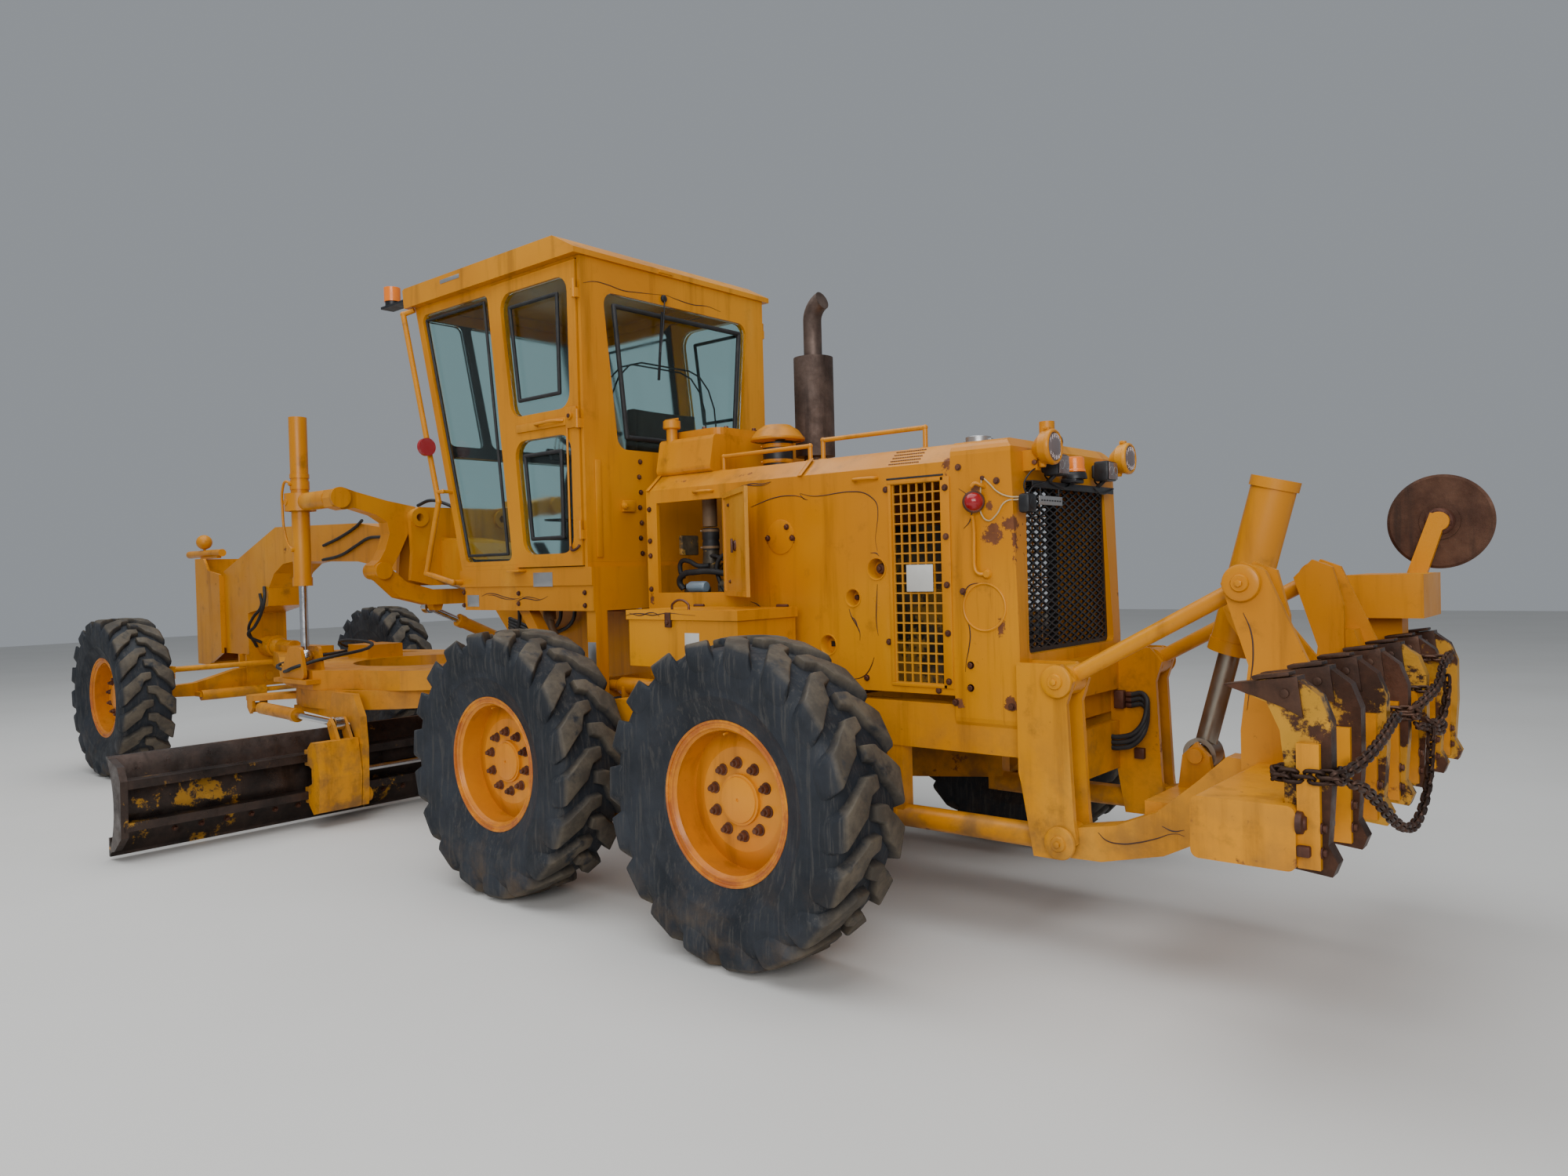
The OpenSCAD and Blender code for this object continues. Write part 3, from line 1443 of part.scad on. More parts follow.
module cab_base() {
    sill_z = floor_z - 100;
    skirt_z = floor_z - 240;
    rear = cab_rear - 30;
    front = cab_front + 30;
    color([0.82, 0.56, 0.10])
        union() {
            slab([rear, front], [-cab_y, cab_y], [sill_z, floor_z - seat]);
            difference() {
                slab([rear, front - 40], [-cab_y + 8, cab_y - 8], [skirt_z, sill_z + 1]);
                slab([rear + 30, front - 70], [-cab_y + 38, cab_y - 38], [skirt_z - 5, sill_z + 2]);
            }
            both_sides() {
                slab([rear, rear + 75], [cab_y - 100, cab_y - 20], [930, skirt_z + 1]);
                side_plate([[1370, skirt_z + 1], [1470, skirt_z + 1], [1080, 930], [1000, 930]],
                    [cab_y - 130, cab_y - 60]);
            }
            both_sides() {
                slab([rear + 30, rear + 80], [beam_y + seat, cab_y - 90], [930, 1000]);
                slab([1000, 1080], [beam_y + seat, cab_y - 60], [930, 1000]);
            }
            both_sides()
                for (x = [900, 1700])
                    slab([x, x + 120], [40, 120], [1380 + seat, sill_z + 1]);
        }
}

cab_hinge = [door_rear - 3, cab_y + 10 + 13];
cab_knuckles = [floor_z + 150, 2400, roof_z - 230];

module cab_shell() {
    color([0.82, 0.56, 0.10])
        union() {
            cab_walls();
            both_sides()
                for (z = cab_knuckles) {
                    round_z(12, cab_hinge[0], cab_hinge[1], [z, z + 50]);
                    slab([cab_hinge[0] - 20, cab_hinge[0]], [cab_y - 2, cab_hinge[1]], [z, z + 50]);
                }
        }
}

module cab_walls() {
    inner = grown(cab_side, -cab_wall);
    seam = 0.4;
        difference() {
            side_plate([[cab_rear, floor_z], [cab_front, floor_z], [cab_top_x, roof_z - seat],
                [cab_rear, roof_z - seat]], [-cab_y, cab_y]);
            side_plate([[cab_rear + cab_wall, floor_z + 25], inner[1] + [0, -20], inner[2] + [cab_wall / 2, 60],
                [cab_rear + cab_wall, roof_z + 15]], [-cab_y + cab_wall, cab_y - cab_wall]);
            side_plate(grown(door_outline, gap), [-cab_y - 5, -cab_y + cab_wall + 5]);
            side_plate(grown(door_outline, gap), [cab_y - cab_wall - 5, cab_y + 5]);
            side_plate(rounded(side_window, 40), [-cab_y - 5, cab_y + 5]);
            cross_plate(rounded(rear_window, 70), [cab_rear - 5, cab_rear + cab_wall + 5]);
            on_front()
                for (p = front_panes)
                    translate([0, 0, -150])
                        linear_extrude(300)
                            polygon(rounded(p, 40));
            slab([cab_rear + cab_wall, cab_rear + cab_wall + seam], [-cab_y - 5, cab_y + 5],
                [floor_z + 25, roof_z + 5]);
            slab([cab_rear - 5, cab_front + 20], [-cab_y - 5, cab_y + 5], [floor_z + 25, floor_z + 25 + seam]);
            side_plate([inner[1] + [-1 - seam, -20], inner[1] + [-1, -20], inner[2] + [cab_wall / 2 - 1, 60],
                inner[2] + [cab_wall / 2 - 1 - seam, 60]], [-cab_y - 5, cab_y + 5]);
        }
}

module cab_roof() {
    rear = cab_rear - 15;
    front = cab_top_x + 65;
    color([0.82, 0.56, 0.10])
        difference() {
            side_plate([[rear, roof_z], [front - 15, roof_z], [front, roof_z + roof_t - 10],
                [front - 20, roof_z + roof_t], [rear + 180, roof_z + roof_t], [rear, roof_z + 30]],
                [-cab_y - 50, cab_y + 50]);
            slab([cab_rear + 60, cab_top_x - 60], [-cab_y + 60, cab_y - 60], [roof_z - 5, roof_z + 60]);
        }
}

module cab_glass() {
    mid = cab_y - cab_wall / 2;
    g = -seat;
    color([0.55, 0.75, 0.72, 0.35]) {
        for (s = [-1, 1])
            side_plate(rounded(grown(side_window, g), 40 + g), [s * mid - glass_t / 2, s * mid + glass_t / 2]);
        cross_plate(rounded(grown(rear_window, g), 70 + g),
            [cab_rear + cab_wall / 2 - glass_t / 2, cab_rear + cab_wall / 2 + glass_t / 2]);
        on_front()
            for (p = front_panes)
                translate([0, 0, -cab_wall / 2 - glass_t / 2])
                    linear_extrude(glass_t)
                        polygon(rounded(grown(p, g), 40 + g));
    }
}

module cab_interior() {
    f = floor_z + 25;
    back = [[900, f + 200], [1050, f + 230], [990, f + 900], [880, f + 900]];
    color([0.10, 0.10, 0.11]) {
        difference() {
            union() {
                slab([1000, 1400], [-200, 200], [f, f + 130]);
                side_plate(rounded([[950, f + 130], [1480, f + 130], [1490, f + 290], [950, f + 270]], 40),
                    [-260, 260]);
            }
            side_plate(grown(back, seat), [-265, 265]);
        }
        side_plate(rounded(back, 40), [-250, 250]);
        union() {
            side_plate([[1640, f], [1850, f], [1820, f + 500], [1700, f + 720], [1620, f + 700]], [-90, 90]);
            side_plate([[1690, f + 640], [1760, f + 680], [1710, f + 760], [1640, f + 720]], [-260, 260]);
            translate([1630, 0, f + 790])
                rotate([0, -35, 0])
                    rotate_extrude()
                        translate([200, 0])
                            circle(r = 15);
            translate([1630, 0, f + 790])
                rotate([0, -35, 0])
                    translate([0, 0, -60])
                        cylinder(r = 30, h = 65);
            translate([1630, 0, f + 790])
                rotate([0, -35, 0])
                    for (a = [0, 120, 240])
                        rotate([0, 90, a])
                            cylinder(r = 9, h = 200);
            for (s = [-1, 1])
                for (k = [0:4])
                    bar([1660, s * (120 + 30 * k), f + 700], [1600, s * (130 + 32 * k), f + 860], 7);
        }
    }
}

module cab_fittings() {
    r = 17;
    p = [[cab_top_x + 40, cab_y + 62, 3290], [cab_front + 140, cab_y + 62, 2080],
        [cab_front + 300, cab_y + 62, 1640], [cab_front + 10, cab_y + 62, 1580]];
    foot = [front_x(2140) - 40, cab_y + 62, 2140];
    bx = cab_top_x + 330;
    color([0.80, 0.55, 0.12]) {
        both_sides()
            union() {
                bar(p[0], p[1], r);
                bar(p[1], p[2], r);
                bar(p[2], p[3], r);
                for (q = p)
                    translate(q)
                        sphere(r = r + 2);
                bar(p[3], [p[3][0], cab_y + seat, p[3][2]], r - 1);
                bar(p[0], [p[0][0] - 60, cab_y + 20, roof_z - seat - r], r - 1);
                bar(p[1] + [15, 0, 60], foot, 12);
                bar(foot, [foot[0], cab_y + seat, foot[2]], 11);
                translate(foot)
                    sphere(r = 14);
            }
    }
    color([0.55, 0.03, 0.05])
        both_sides()
            round_x(55, cab_y + 100, 2420, [2130, 2160]);
    color([0.08, 0.08, 0.09])
        union() {
            slab([cab_top_x + 65 + seat, bx + 40], [cab_y - 60, cab_y + 30], [3385, 3400]);
            round_z(45, bx - 30, cab_y - 15, [3399, 3430]);
            round_z(52, bx - 30, cab_y - 15, [3429, 3520]);
        }
}

module cab_door() {
    y0 = cab_y - cab_wall + 4;
    y1 = cab_y + 10;
    mid = 2440;
    upper = [[door_rear + 70, mid + 80], [door_x(mid) - 75, mid + 80], [door_x(door_high) - 80, door_high - 70],
        [door_rear + 70, door_high - 70]];
    lower = [[door_rear + 70, door_low + 70], [door_x(door_low) - 70, door_low + 70],
        [door_x(mid) - 90, mid - 60], [door_rear + 70, mid - 60]];
    g = -seat;
    color([0.82, 0.56, 0.10])
        union() {
            difference() {
                side_plate(door_outline, [y0, y1]);
                side_plate(rounded(upper, 90), [y0 - 5, y1 + 5]);
                side_plate(rounded(lower, 90), [y0 - 5, y1 + 5]);
            }
            for (z = cab_knuckles) {
                round_z(12, cab_hinge[0], cab_hinge[1], [z + 50 + seat, z + 100]);
                slab([cab_hinge[0], cab_hinge[0] + 30], [y1 - 1, cab_hinge[1]], [z + 50 + seat, z + 100]);
            }
        }
    color([0.55, 0.75, 0.72, 0.35])
        for (w = [upper, lower])
            side_plate(rounded(grown(w, g), 90 + g), [(y0 + y1 - glass_t) / 2, (y0 + y1 + glass_t) / 2]);
}

machine() rear_frame();
machine() tandem_drive();
machine() engine_block();
machine() engine_hood();
machine() side_screens();
machine() radiator_shell();
machine() radiator_grille();
machine() exhaust();
machine() hydraulic_tank();
machine() battery_boxes();
machine() ripper_bracket();
machine() engine_door();
for (w = WHEELS) {
    machine() at_wheel(w[1], w[2]) rim();
    machine() at_wheel(w[1], w[2]) tyre();
}
machine() ripper_arms();
machine() ripper_links();
machine() ripper_carriage();
machine() ripper_shanks();
machine() ripper_chain();
machine() ripper_barrel();
machine() ripper_rod();
machine() edge_cutter();
machine() main_frame();
machine() front_post();
machine() front_axle();
machine() knuckle(1);  // knuckle_left
machine() knuckle(-1);  // knuckle_right
machine() tie_rod();
machine() lift_arms();
machine() lift_barrel(1);  // lift_barrel_left
machine() lift_barrel(-1);  // lift_barrel_right
machine() lift_rod(1);  // lift_rod_left
machine() lift_rod(-1);  // lift_rod_right
machine() centre_barrel();
machine() centre_rod();
machine() drawbar();
machine() blade_circle();
machine() blade_carrier();
machine() moldboard();
machine() shift_rod();
machine() tip_barrel();
machine() tip_rod();
machine() cab_base();
machine() cab_shell();
machine() cab_roof();
machine() cab_glass();
machine() cab_interior();
machine() cab_fittings();
machine() cab_door();  // cab_door_left
machine() mirror([0, 1, 0]) cab_door();  // cab_door_right
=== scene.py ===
"""Looks of a motor grader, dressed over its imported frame. Metres, x forward, y to the left, z up."""
import math

import bpy
from mathutils import Matrix, Vector


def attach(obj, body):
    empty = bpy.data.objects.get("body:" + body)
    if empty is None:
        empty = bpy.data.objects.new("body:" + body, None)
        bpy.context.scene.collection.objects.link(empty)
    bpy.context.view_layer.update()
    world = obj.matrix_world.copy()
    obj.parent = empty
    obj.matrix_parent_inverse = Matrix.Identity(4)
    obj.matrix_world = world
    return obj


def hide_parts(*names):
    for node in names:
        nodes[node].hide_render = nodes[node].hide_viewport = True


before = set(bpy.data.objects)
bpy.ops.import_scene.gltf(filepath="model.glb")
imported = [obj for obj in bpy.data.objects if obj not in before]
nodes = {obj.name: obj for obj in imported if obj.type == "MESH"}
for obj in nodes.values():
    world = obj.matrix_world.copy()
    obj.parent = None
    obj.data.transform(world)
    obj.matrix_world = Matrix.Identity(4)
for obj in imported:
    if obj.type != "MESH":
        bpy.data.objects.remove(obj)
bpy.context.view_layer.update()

# The machine's own measures: forward of the tandem pivot, left of the middle, above the ground
MACHINE_ORIGIN = Vector((2.2995, 0.145, 0.0))
WHEELBASE = 6.46
TANDEM_X = 0.8025
WHEEL_Y = 1.2
AXLE_Z = 0.67
WHEELS = {
    # name: (forward, side)
    "front_left": (WHEELBASE, 1), "front_right": (WHEELBASE, -1),
    "mid_left": (TANDEM_X, 1), "mid_right": (TANDEM_X, -1),
    "rear_left": (-TANDEM_X, 1), "rear_right": (-TANDEM_X, -1),
}


def at(x, y, z):
    """A place in the row frame from the machine's own measures."""
    return Vector((x, y, z)) - MACHINE_ORIGIN


def spots(side, *rows):
    """Places from the machine's measures in millimetres, with y counted outwards on a side."""
    return [at(x / 1000, side * y / 1000, z / 1000) for x, y, z in rows]


def mm(*pairs):
    """Pairs of a radius and a height, given in millimetres."""
    return [(radius / 1000, height / 1000) for radius, height in pairs]


def placed(name, data):
    """A new object in the scene that shows this data."""
    obj = bpy.data.objects.new(name, data)
    bpy.context.scene.collection.objects.link(obj)
    return obj


# Camera, light and floor
CAMERA_PLACE = at(-3.75204, 4.39858, 1.60556)
CAMERA_YAW, CAMERA_PITCH, CAMERA_ROLL = -0.86529, -0.01716, -0.02584
LENS_MM = 24.263
SENSOR_MM = 36.0
FARTHEST_SEEN = 200.0


def set_camera():
    """Stands the camera where the photo's was, found from its wheels and cab."""
    ahead = Vector((math.cos(CAMERA_YAW) * math.cos(CAMERA_PITCH),
        math.sin(CAMERA_YAW) * math.cos(CAMERA_PITCH), math.sin(CAMERA_PITCH)))
    right = Vector((math.sin(CAMERA_YAW), -math.cos(CAMERA_YAW), 0.0))
    above = right.cross(ahead)
    rolled_right = math.cos(CAMERA_ROLL) * right + math.sin(CAMERA_ROLL) * above
    rolled_above = -math.sin(CAMERA_ROLL) * right + math.cos(CAMERA_ROLL) * above
    turn = Matrix((rolled_right, rolled_above, -ahead)).transposed()
    camera_data = bpy.data.cameras.new("camera")
    camera_data.sensor_width = SENSOR_MM
    camera_data.lens = LENS_MM
    camera_data.clip_end = FARTHEST_SEEN
    camera = placed("camera", camera_data)
    camera.matrix_world = Matrix.Translation(CAMERA_PLACE) @ turn.to_4x4()
    bpy.context.scene.camera = camera


def add_area_light(name, place, target, size, power, tint=(1.0, 1.0, 1.0)):
    """A soft panel of light that faces its target, its size in metres and its power in watts."""
    data = bpy.data.lights.new(name, "AREA")
    data.shape = "RECTANGLE"
    data.size, data.size_y = size
    data.energy = power
    data.color = tint
    lamp = placed(name, data)
    lamp.location = place
    lamp.rotation_euler = (Vector(target) - Vector(place)).to_track_quat("-Z", "Y").to_euler()


set_camera()
add_area_light("sky_panel", (0.0, 2.0, 11.0), (0.0, 0.0, 0.0), (16.0, 12.0), 1500.0, (0.95, 0.98, 1.0))
add_area_light("side_panel", (-9.0, 9.0, 5.0), (-1.0, 0.0, 1.5), (8.0, 5.0), 800.0)
world = bpy.data.worlds.new("studio")
bpy.context.scene.world = world
world.use_nodes = True
background = world.node_tree.nodes["Background"]
background.inputs["Color"].default_value = (0.80, 0.86, 0.93, 1.0)
background.inputs["Strength"].default_value = 0.36

# Finishes

class Recipe:
    """One material's node tree, with short calls for the nodes that the finishes share."""

    def __init__(self, name):
        self.material = bpy.data.materials.new(name)
        self.material.use_nodes = True
        self.tree = self.material.node_tree
        self.shader = self.tree.nodes["Principled BSDF"]
        self.places = self.tree.nodes.new("ShaderNodeTexCoord").outputs["Object"]

    def set(self, **values):
        """Fixed values of the shader, by the names of its sockets."""
        for key, value in values.items():
            self.shader.inputs[key.replace("_", " ")].default_value = value
        return self

    def link(self, a, b):
        self.tree.links.new(a, b)

    def stretched(self, scale, shift=(0.0, 0.0, 0.0), source=None):
        """The piece's own places, scaled and then shifted."""
        node = self.tree.nodes.new("ShaderNodeMapping")
        node.inputs["Scale"].default_value = scale
        node.inputs["Location"].default_value = shift
        self.link(source or self.places, node.inputs["Vector"])
        return node.outputs["Vector"]

    def noise(self, scale, detail=4.0, roughness=0.55, source=None, distortion=0.0):
        node = self.tree.nodes.new("ShaderNodeTexNoise")
        node.inputs["Scale"].default_value = scale
        node.inputs["Detail"].default_value = detail
        node.inputs["Roughness"].default_value = roughness
        node.inputs["Distortion"].default_value = distortion
        self.link(source or self.places, node.inputs["Vector"])
        return node.outputs["Fac"]

    def band(self, value, low, high, out_low=0.0, out_high=1.0):
        """A smooth step from one value to another as the input goes from low to high."""
        node = self.tree.nodes.new("ShaderNodeMapRange")
        node.interpolation_type = "SMOOTHSTEP"
        for key, number in (("From Min", low), ("From Max", high),
                ("To Min", out_low), ("To Max", out_high)):
            node.inputs[key].default_value = number
        self.link(value, node.inputs["Value"])
        return node.outputs["Result"]

    def calc(self, operation, a, b):
        """One step of arithmetic, kept between nought and one."""
        node = self.tree.nodes.new("ShaderNodeMath")
        node.operation = operation
        node.use_clamp = True
        for socket, value in zip(node.inputs, (a, b)):
            if isinstance(value, (int, float)):
                socket.default_value = value
            else:
                self.link(value, socket)
        return node.outputs["Value"]

    def wide_calc(self, operation, a, b):
        """One step of arithmetic that may pass one."""
        value = self.calc(operation, a, b)
        value.node.use_clamp = False
        return value

    def length_of(self, vector):
        node = self.tree.nodes.new("ShaderNodeVectorMath")
        node.operation = "LENGTH"
        self.link(vector, node.inputs[0])
        return node.outputs["Value"]

    def mix(self, amount, a, b):
        node = self.tree.nodes.new("ShaderNodeMix")
        node.data_type = "RGBA"
        for socket, value in ((node.inputs["Factor"], amount), (node.inputs[6], a), (node.inputs[7], b)):
            if isinstance(value, (int, float)):
                socket.default_value = value
            elif isinstance(value, tuple):
                socket.default_value = (*value, 1.0)
            else:
                self.link(value, socket)
        return node.outputs[2]

    def height(self):
        node = self.tree.nodes.new("ShaderNodeSeparateXYZ")
        self.link(self.places, node.inputs["Vector"])
        return node.outputs["Z"]

    def radius_from(self, centre):
        """Distance in metres from a wheel's axle line, which runs along y."""
        return self.length_of(self.stretched((1.0, 0.0, 1.0), (-centre[0], 0.0, -centre[2])))

    def attribute(self, name):
        node = self.tree.nodes.new("ShaderNodeAttribute")
        node.attribute_name = name
        return node.outputs["Fac"]

    def bump(self, height, strength, distance, under=None):
        node = self.tree.nodes.new("ShaderNodeBump")
        node.inputs["Strength"].default_value = strength
        node.inputs["Distance"].default_value = distance
        self.link(height, node.inputs["Height"])
        if under is not None:
            self.link(under, node.inputs["Normal"])
        return node.outputs["Normal"]

    def done(self, colour=None, roughness=None, normal=None, metallic=None):
        for value, key in ((colour, "Base Color"), (roughness, "Roughness"),
                (normal, "Normal"), (metallic, "Metallic")):
            if value is not None:
                self.link(value, self.shader.inputs[key])
        return self.material


MUD = (0.115, 0.072, 0.036)
RUST = (0.085, 0.026, 0.010)
PALE_RUST = (0.22, 0.075, 0.025)
RUST_RUN = (0.17, 0.050, 0.012)
RIM_RUST = (0.36, 0.085, 0.018)
CHALK = (0.66, 0.34, 0.045)
GRIME = (0.10, 0.050, 0.016)
# Where the rust patches lie to the side, and how far in they reach
PANEL_SIDE = 0.60
PATCH_DEPTH = 0.14


def eaten_patches(r, patches, streak_length=0.42):
    """Where rust has eaten through the paint of an upright side, and the runs of it below.

    Each patch is a place forward and up with its half width and half height, in metres.
    """
    def distance(place, halves):
        """How far a point is from a place, counted in the half sizes of an oval round it."""
        return r.length_of(r.stretched([1 / half for half in halves],
            [-along / half for along, half in zip(place, halves)]))

    edge = r.wide_calc("MULTIPLY", r.noise(22.0, 9.0, 0.78), 2.6)
    eaten = run = None
    for x, z, half_x, half_z in patches:
        place = at(x, PANEL_SIDE, z)
        near = distance(place, (half_x, PATCH_DEPTH, half_z))
        core = r.band(r.wide_calc("ADD", near, edge), 2.32, 2.22)
        eaten = core if eaten is None else r.calc("MAXIMUM", eaten, core)
        lower = place - Vector((0.0, 0.0, streak_length * 0.8))
        below = distance(lower, (half_x * 0.9, PATCH_DEPTH, streak_length))
        stripes = r.band(r.noise(26.0, 5.0, 0.65, r.stretched((2.2, 2.2, 0.10))), 0.46, 0.62)
        drip = r.calc("MULTIPLY", r.band(below, 1.0, 0.35), stripes)
        run = drip if run is None else r.calc("MAXIMUM", run, drip)
    return eaten, run


def weathered_paint(name, base, faded, grime=0.5, rust=0.25, mud_top=1.1,
        gloss=0.34, edge_wheel=None, patches=()):
    """Old machine paint: faded fields, rain streaks, grime, rust spots and mud that thins upwards."""
    r = Recipe(name)
    colour = r.mix(r.band(r.noise(0.9, 3.0), 0.35, 0.68), base, faded)
    streak = r.band(r.noise(2.2, 6.0, 0.6, r.stretched((4.5, 4.5, 0.35))), 0.50, 0.74, 0.0, 0.55)
    colour = r.mix(streak, colour, tuple(c * 0.46 for c in base))
    chalky = r.band(r.noise(1.3, 7.0, 0.62, r.stretched((2.0, 2.0, 0.6),
        (5.2, 1.4, 3.8))), 0.55, 0.75, 0.0, 0.35)
    colour = r.mix(chalky, colour, CHALK)
    stains = r.band(r.noise(5.5, 9.0, 0.66), 0.56, 0.74, 0.0, grime)
    colour = r.mix(stains, colour, GRIME)
    rusty = r.band(r.noise(3.1, 12.0, 0.70, r.stretched((1.0, 1.0, 1.0), (7.3, 2.1, 4.4))),
        0.735 - 0.22 * rust, 0.775 - 0.22 * rust, 0.0, 0.95)
    fine = r.band(r.noise(24.0, 6.0, 0.7), 0.66, 0.72, 0.0, rust)
    rusty = r.calc("MAXIMUM", rusty, fine)
    if edge_wheel is not None:
        radius = r.radius_from(edge_wheel)
        ragged = r.calc("MULTIPLY", r.band(radius, 0.285, 0.318),
            r.band(r.noise(9.0, 8.0, 0.7), 0.34, 0.62))
        colour = r.mix(r.calc("MULTIPLY", ragged, 0.85), colour, RIM_RUST)
        inner = r.calc("MULTIPLY", r.band(radius, 0.20, 0.27), r.band(radius, 0.30, 0.285))
        colour = r.mix(r.calc("MULTIPLY", inner, 0.30), colour, GRIME)
    if patches:
        eaten, run = eaten_patches(r, patches)
        colour = r.mix(r.calc("MULTIPLY", run, 0.72), colour, RUST_RUN)
        rusty = r.calc("MAXIMUM", rusty, eaten)
    colour = r.mix(rusty, colour, r.mix(r.noise(40.0, 5.0), RUST, PALE_RUST))
    low = r.calc("MULTIPLY", r.band(r.height(), mud_top, 0.15), r.band(r.noise(6.0, 8.0, 0.62), 0.40, 0.66))
    colour = r.mix(r.calc("MULTIPLY", low, 0.75), colour, MUD)
    roughness = r.calc("ADD", r.calc("MULTIPLY", r.calc("MAXIMUM", rusty, low), 0.42),
        r.band(r.noise(4.0, 6.0), 0.2, 0.8, gloss - 0.08, gloss + 0.16))
    dents = r.bump(r.noise(2.4, 2.0), 0.18, 0.02)
    normal = r.bump(r.calc("ADD", r.calc("MULTIPLY", rusty, 0.6), r.noise(90.0, 3.0)), 0.10, 0.003, dents)
    r.set(Coat_Weight=0.05, Coat_Roughness=0.3, Specular_IOR_Level=0.34)
    return r.done(colour, roughness, normal)


def worn_steel(name, dark, light, paint=None, paint_amount=0.0, gloss=0.42, metallic=0.7):
    """Bare working steel, brown with rust, with what is left of its paint."""
    r = Recipe(name)
    colour = r.mix(r.band(r.noise(3.2, 9.0, 0.68), 0.36, 0.66), dark, light)
    colour = r.mix(r.band(r.noise(1.8, 7.0, 0.6, r.stretched((6.0, 6.0, 0.5))), 0.54, 0.72, 0.0, 0.8),
        colour, (0.028, 0.018, 0.014))
    if paint is not None:
        left = r.band(r.noise(2.1, 10.0, 0.72, r.stretched((1.0, 1.0, 1.0), (3.1, 8.2, 1.7))),
            0.62 - 0.2 * paint_amount, 0.66 - 0.2 * paint_amount)
        colour = r.mix(left, colour, paint)
    roughness = r.band(r.noise(7.0, 8.0, 0.7), 0.25, 0.75, gloss - 0.1, gloss + 0.3)
    normal = r.bump(r.noise(38.0, 8.0, 0.7), 0.28, 0.004)
    r.set(Metallic=metallic)
    return r.done(colour, roughness, normal)


def plain_finish(name, colour, roughness=0.5, metallic=0.0, speckle=0.25, scale=9.0, bump=0.08):
    """A small part's finish: one colour with dust and a little unevenness."""
    r = Recipe(name)
    dusty = tuple(min(1.0, c * 0.6 + 0.05) for c in colour)
    shade = r.mix(r.band(r.noise(scale, 7.0, 0.62), 0.42, 0.72, 0.0, speckle), colour, dusty)
    rough = r.band(r.noise(scale * 2.2, 5.0), 0.2, 0.8, max(0.03, roughness - 0.08), roughness + 0.12)
    r.set(Metallic=metallic)
    return r.done(shade, rough, r.bump(r.noise(scale * 9.0, 4.0), bump, 0.003))


def tyre_rubber():
    """Grey-blue sidewalls with streaks round the wheel, brown-grey worn lug tops, mud low down."""
    r = Recipe("tyre_rubber")
    worn = r.attribute("worn")
    side = r.mix(r.band(r.noise(3.0, 6.0, 0.6), 0.35, 0.7), (0.010, 0.0125, 0.017), (0.024, 0.028, 0.036))
    streak = r.band(r.noise(3.0, 8.0, 0.7, r.stretched((16.0, 16.0, 1.1))), 0.50, 0.64, 0.0, 0.65)
    side = r.mix(streak, side, (0.055, 0.052, 0.049))
    top = r.mix(r.band(r.noise(7.0, 9.0, 0.7), 0.38, 0.66), (0.052, 0.043, 0.033), (0.105, 0.085, 0.060))
    colour = r.mix(r.calc("MULTIPLY", worn, r.band(r.noise(11.0, 6.0), 0.28, 0.46)), side, top)
    dust = r.calc("MULTIPLY", r.band(r.height(), 0.55, 0.0), r.band(r.noise(5.0, 9.0, 0.7), 0.45, 0.7))
    colour = r.mix(r.calc("MULTIPLY", dust, 0.55), colour, MUD)
    roughness = r.band(r.noise(8.0, 6.0), 0.25, 0.75, 0.52, 0.88)
    normal = r.bump(r.noise(55.0, 6.0, 0.7), 0.25, 0.004)
    r.set(Specular_IOR_Level=0.35)
    return r.done(colour, roughness, normal)


def tinted_glass():
    """Thin green-blue glass with a little smear on it."""
    r = Recipe("tinted_glass")
    smear = r.band(r.noise(2.5, 7.0, 0.6, r.stretched((1.0, 1.0, 0.4))), 0.35, 0.8, 0.02, 0.14)
    r.set(Base_Color=(0.74, 0.92, 0.91, 1.0), Transmission_Weight=1.0, IOR=1.25)
    return r.done(roughness=smear)


YELLOW = (0.53, 0.190, 0.0008)
FADED_YELLOW = (0.63, 0.250, 0.003)
# Forward, up, half width and half height of the places where rust shows through on the upright sides
RADIATOR_RUST = [(-1.575, 1.735, 0.060, 0.048), (-1.655, 1.770, 0.055, 0.040),
    (-1.690, 1.700, 0.030, 0.120), (-1.500, 1.925, 0.026, 0.030), (-1.605, 1.345, 0.024, 0.052),
    (-1.560, 1.850, 0.020, 0.026), (-1.648, 1.030, 0.040, 0.040), (-1.400, 1.020, 0.036, 0.030)]
HOOD_RUST = [(-1.362, 2.040, 0.030, 0.050), (0.500, 1.470, 0.022, 0.040), (-0.070, 1.500, 0.030, 0.018),
    (-0.500, 1.752, 0.018, 0.022), (-0.345, 1.752, 0.016, 0.022), (-1.355, 1.110, 0.030, 0.030),
    (-0.180, 2.090, 0.120, 0.014), (0.300, 2.094, 0.100, 0.012)]


def yellow(name, **wear):
    """The machine's own yellow, worn as named."""
    return weathered_paint(name, YELLOW, FADED_YELLOW, **wear)


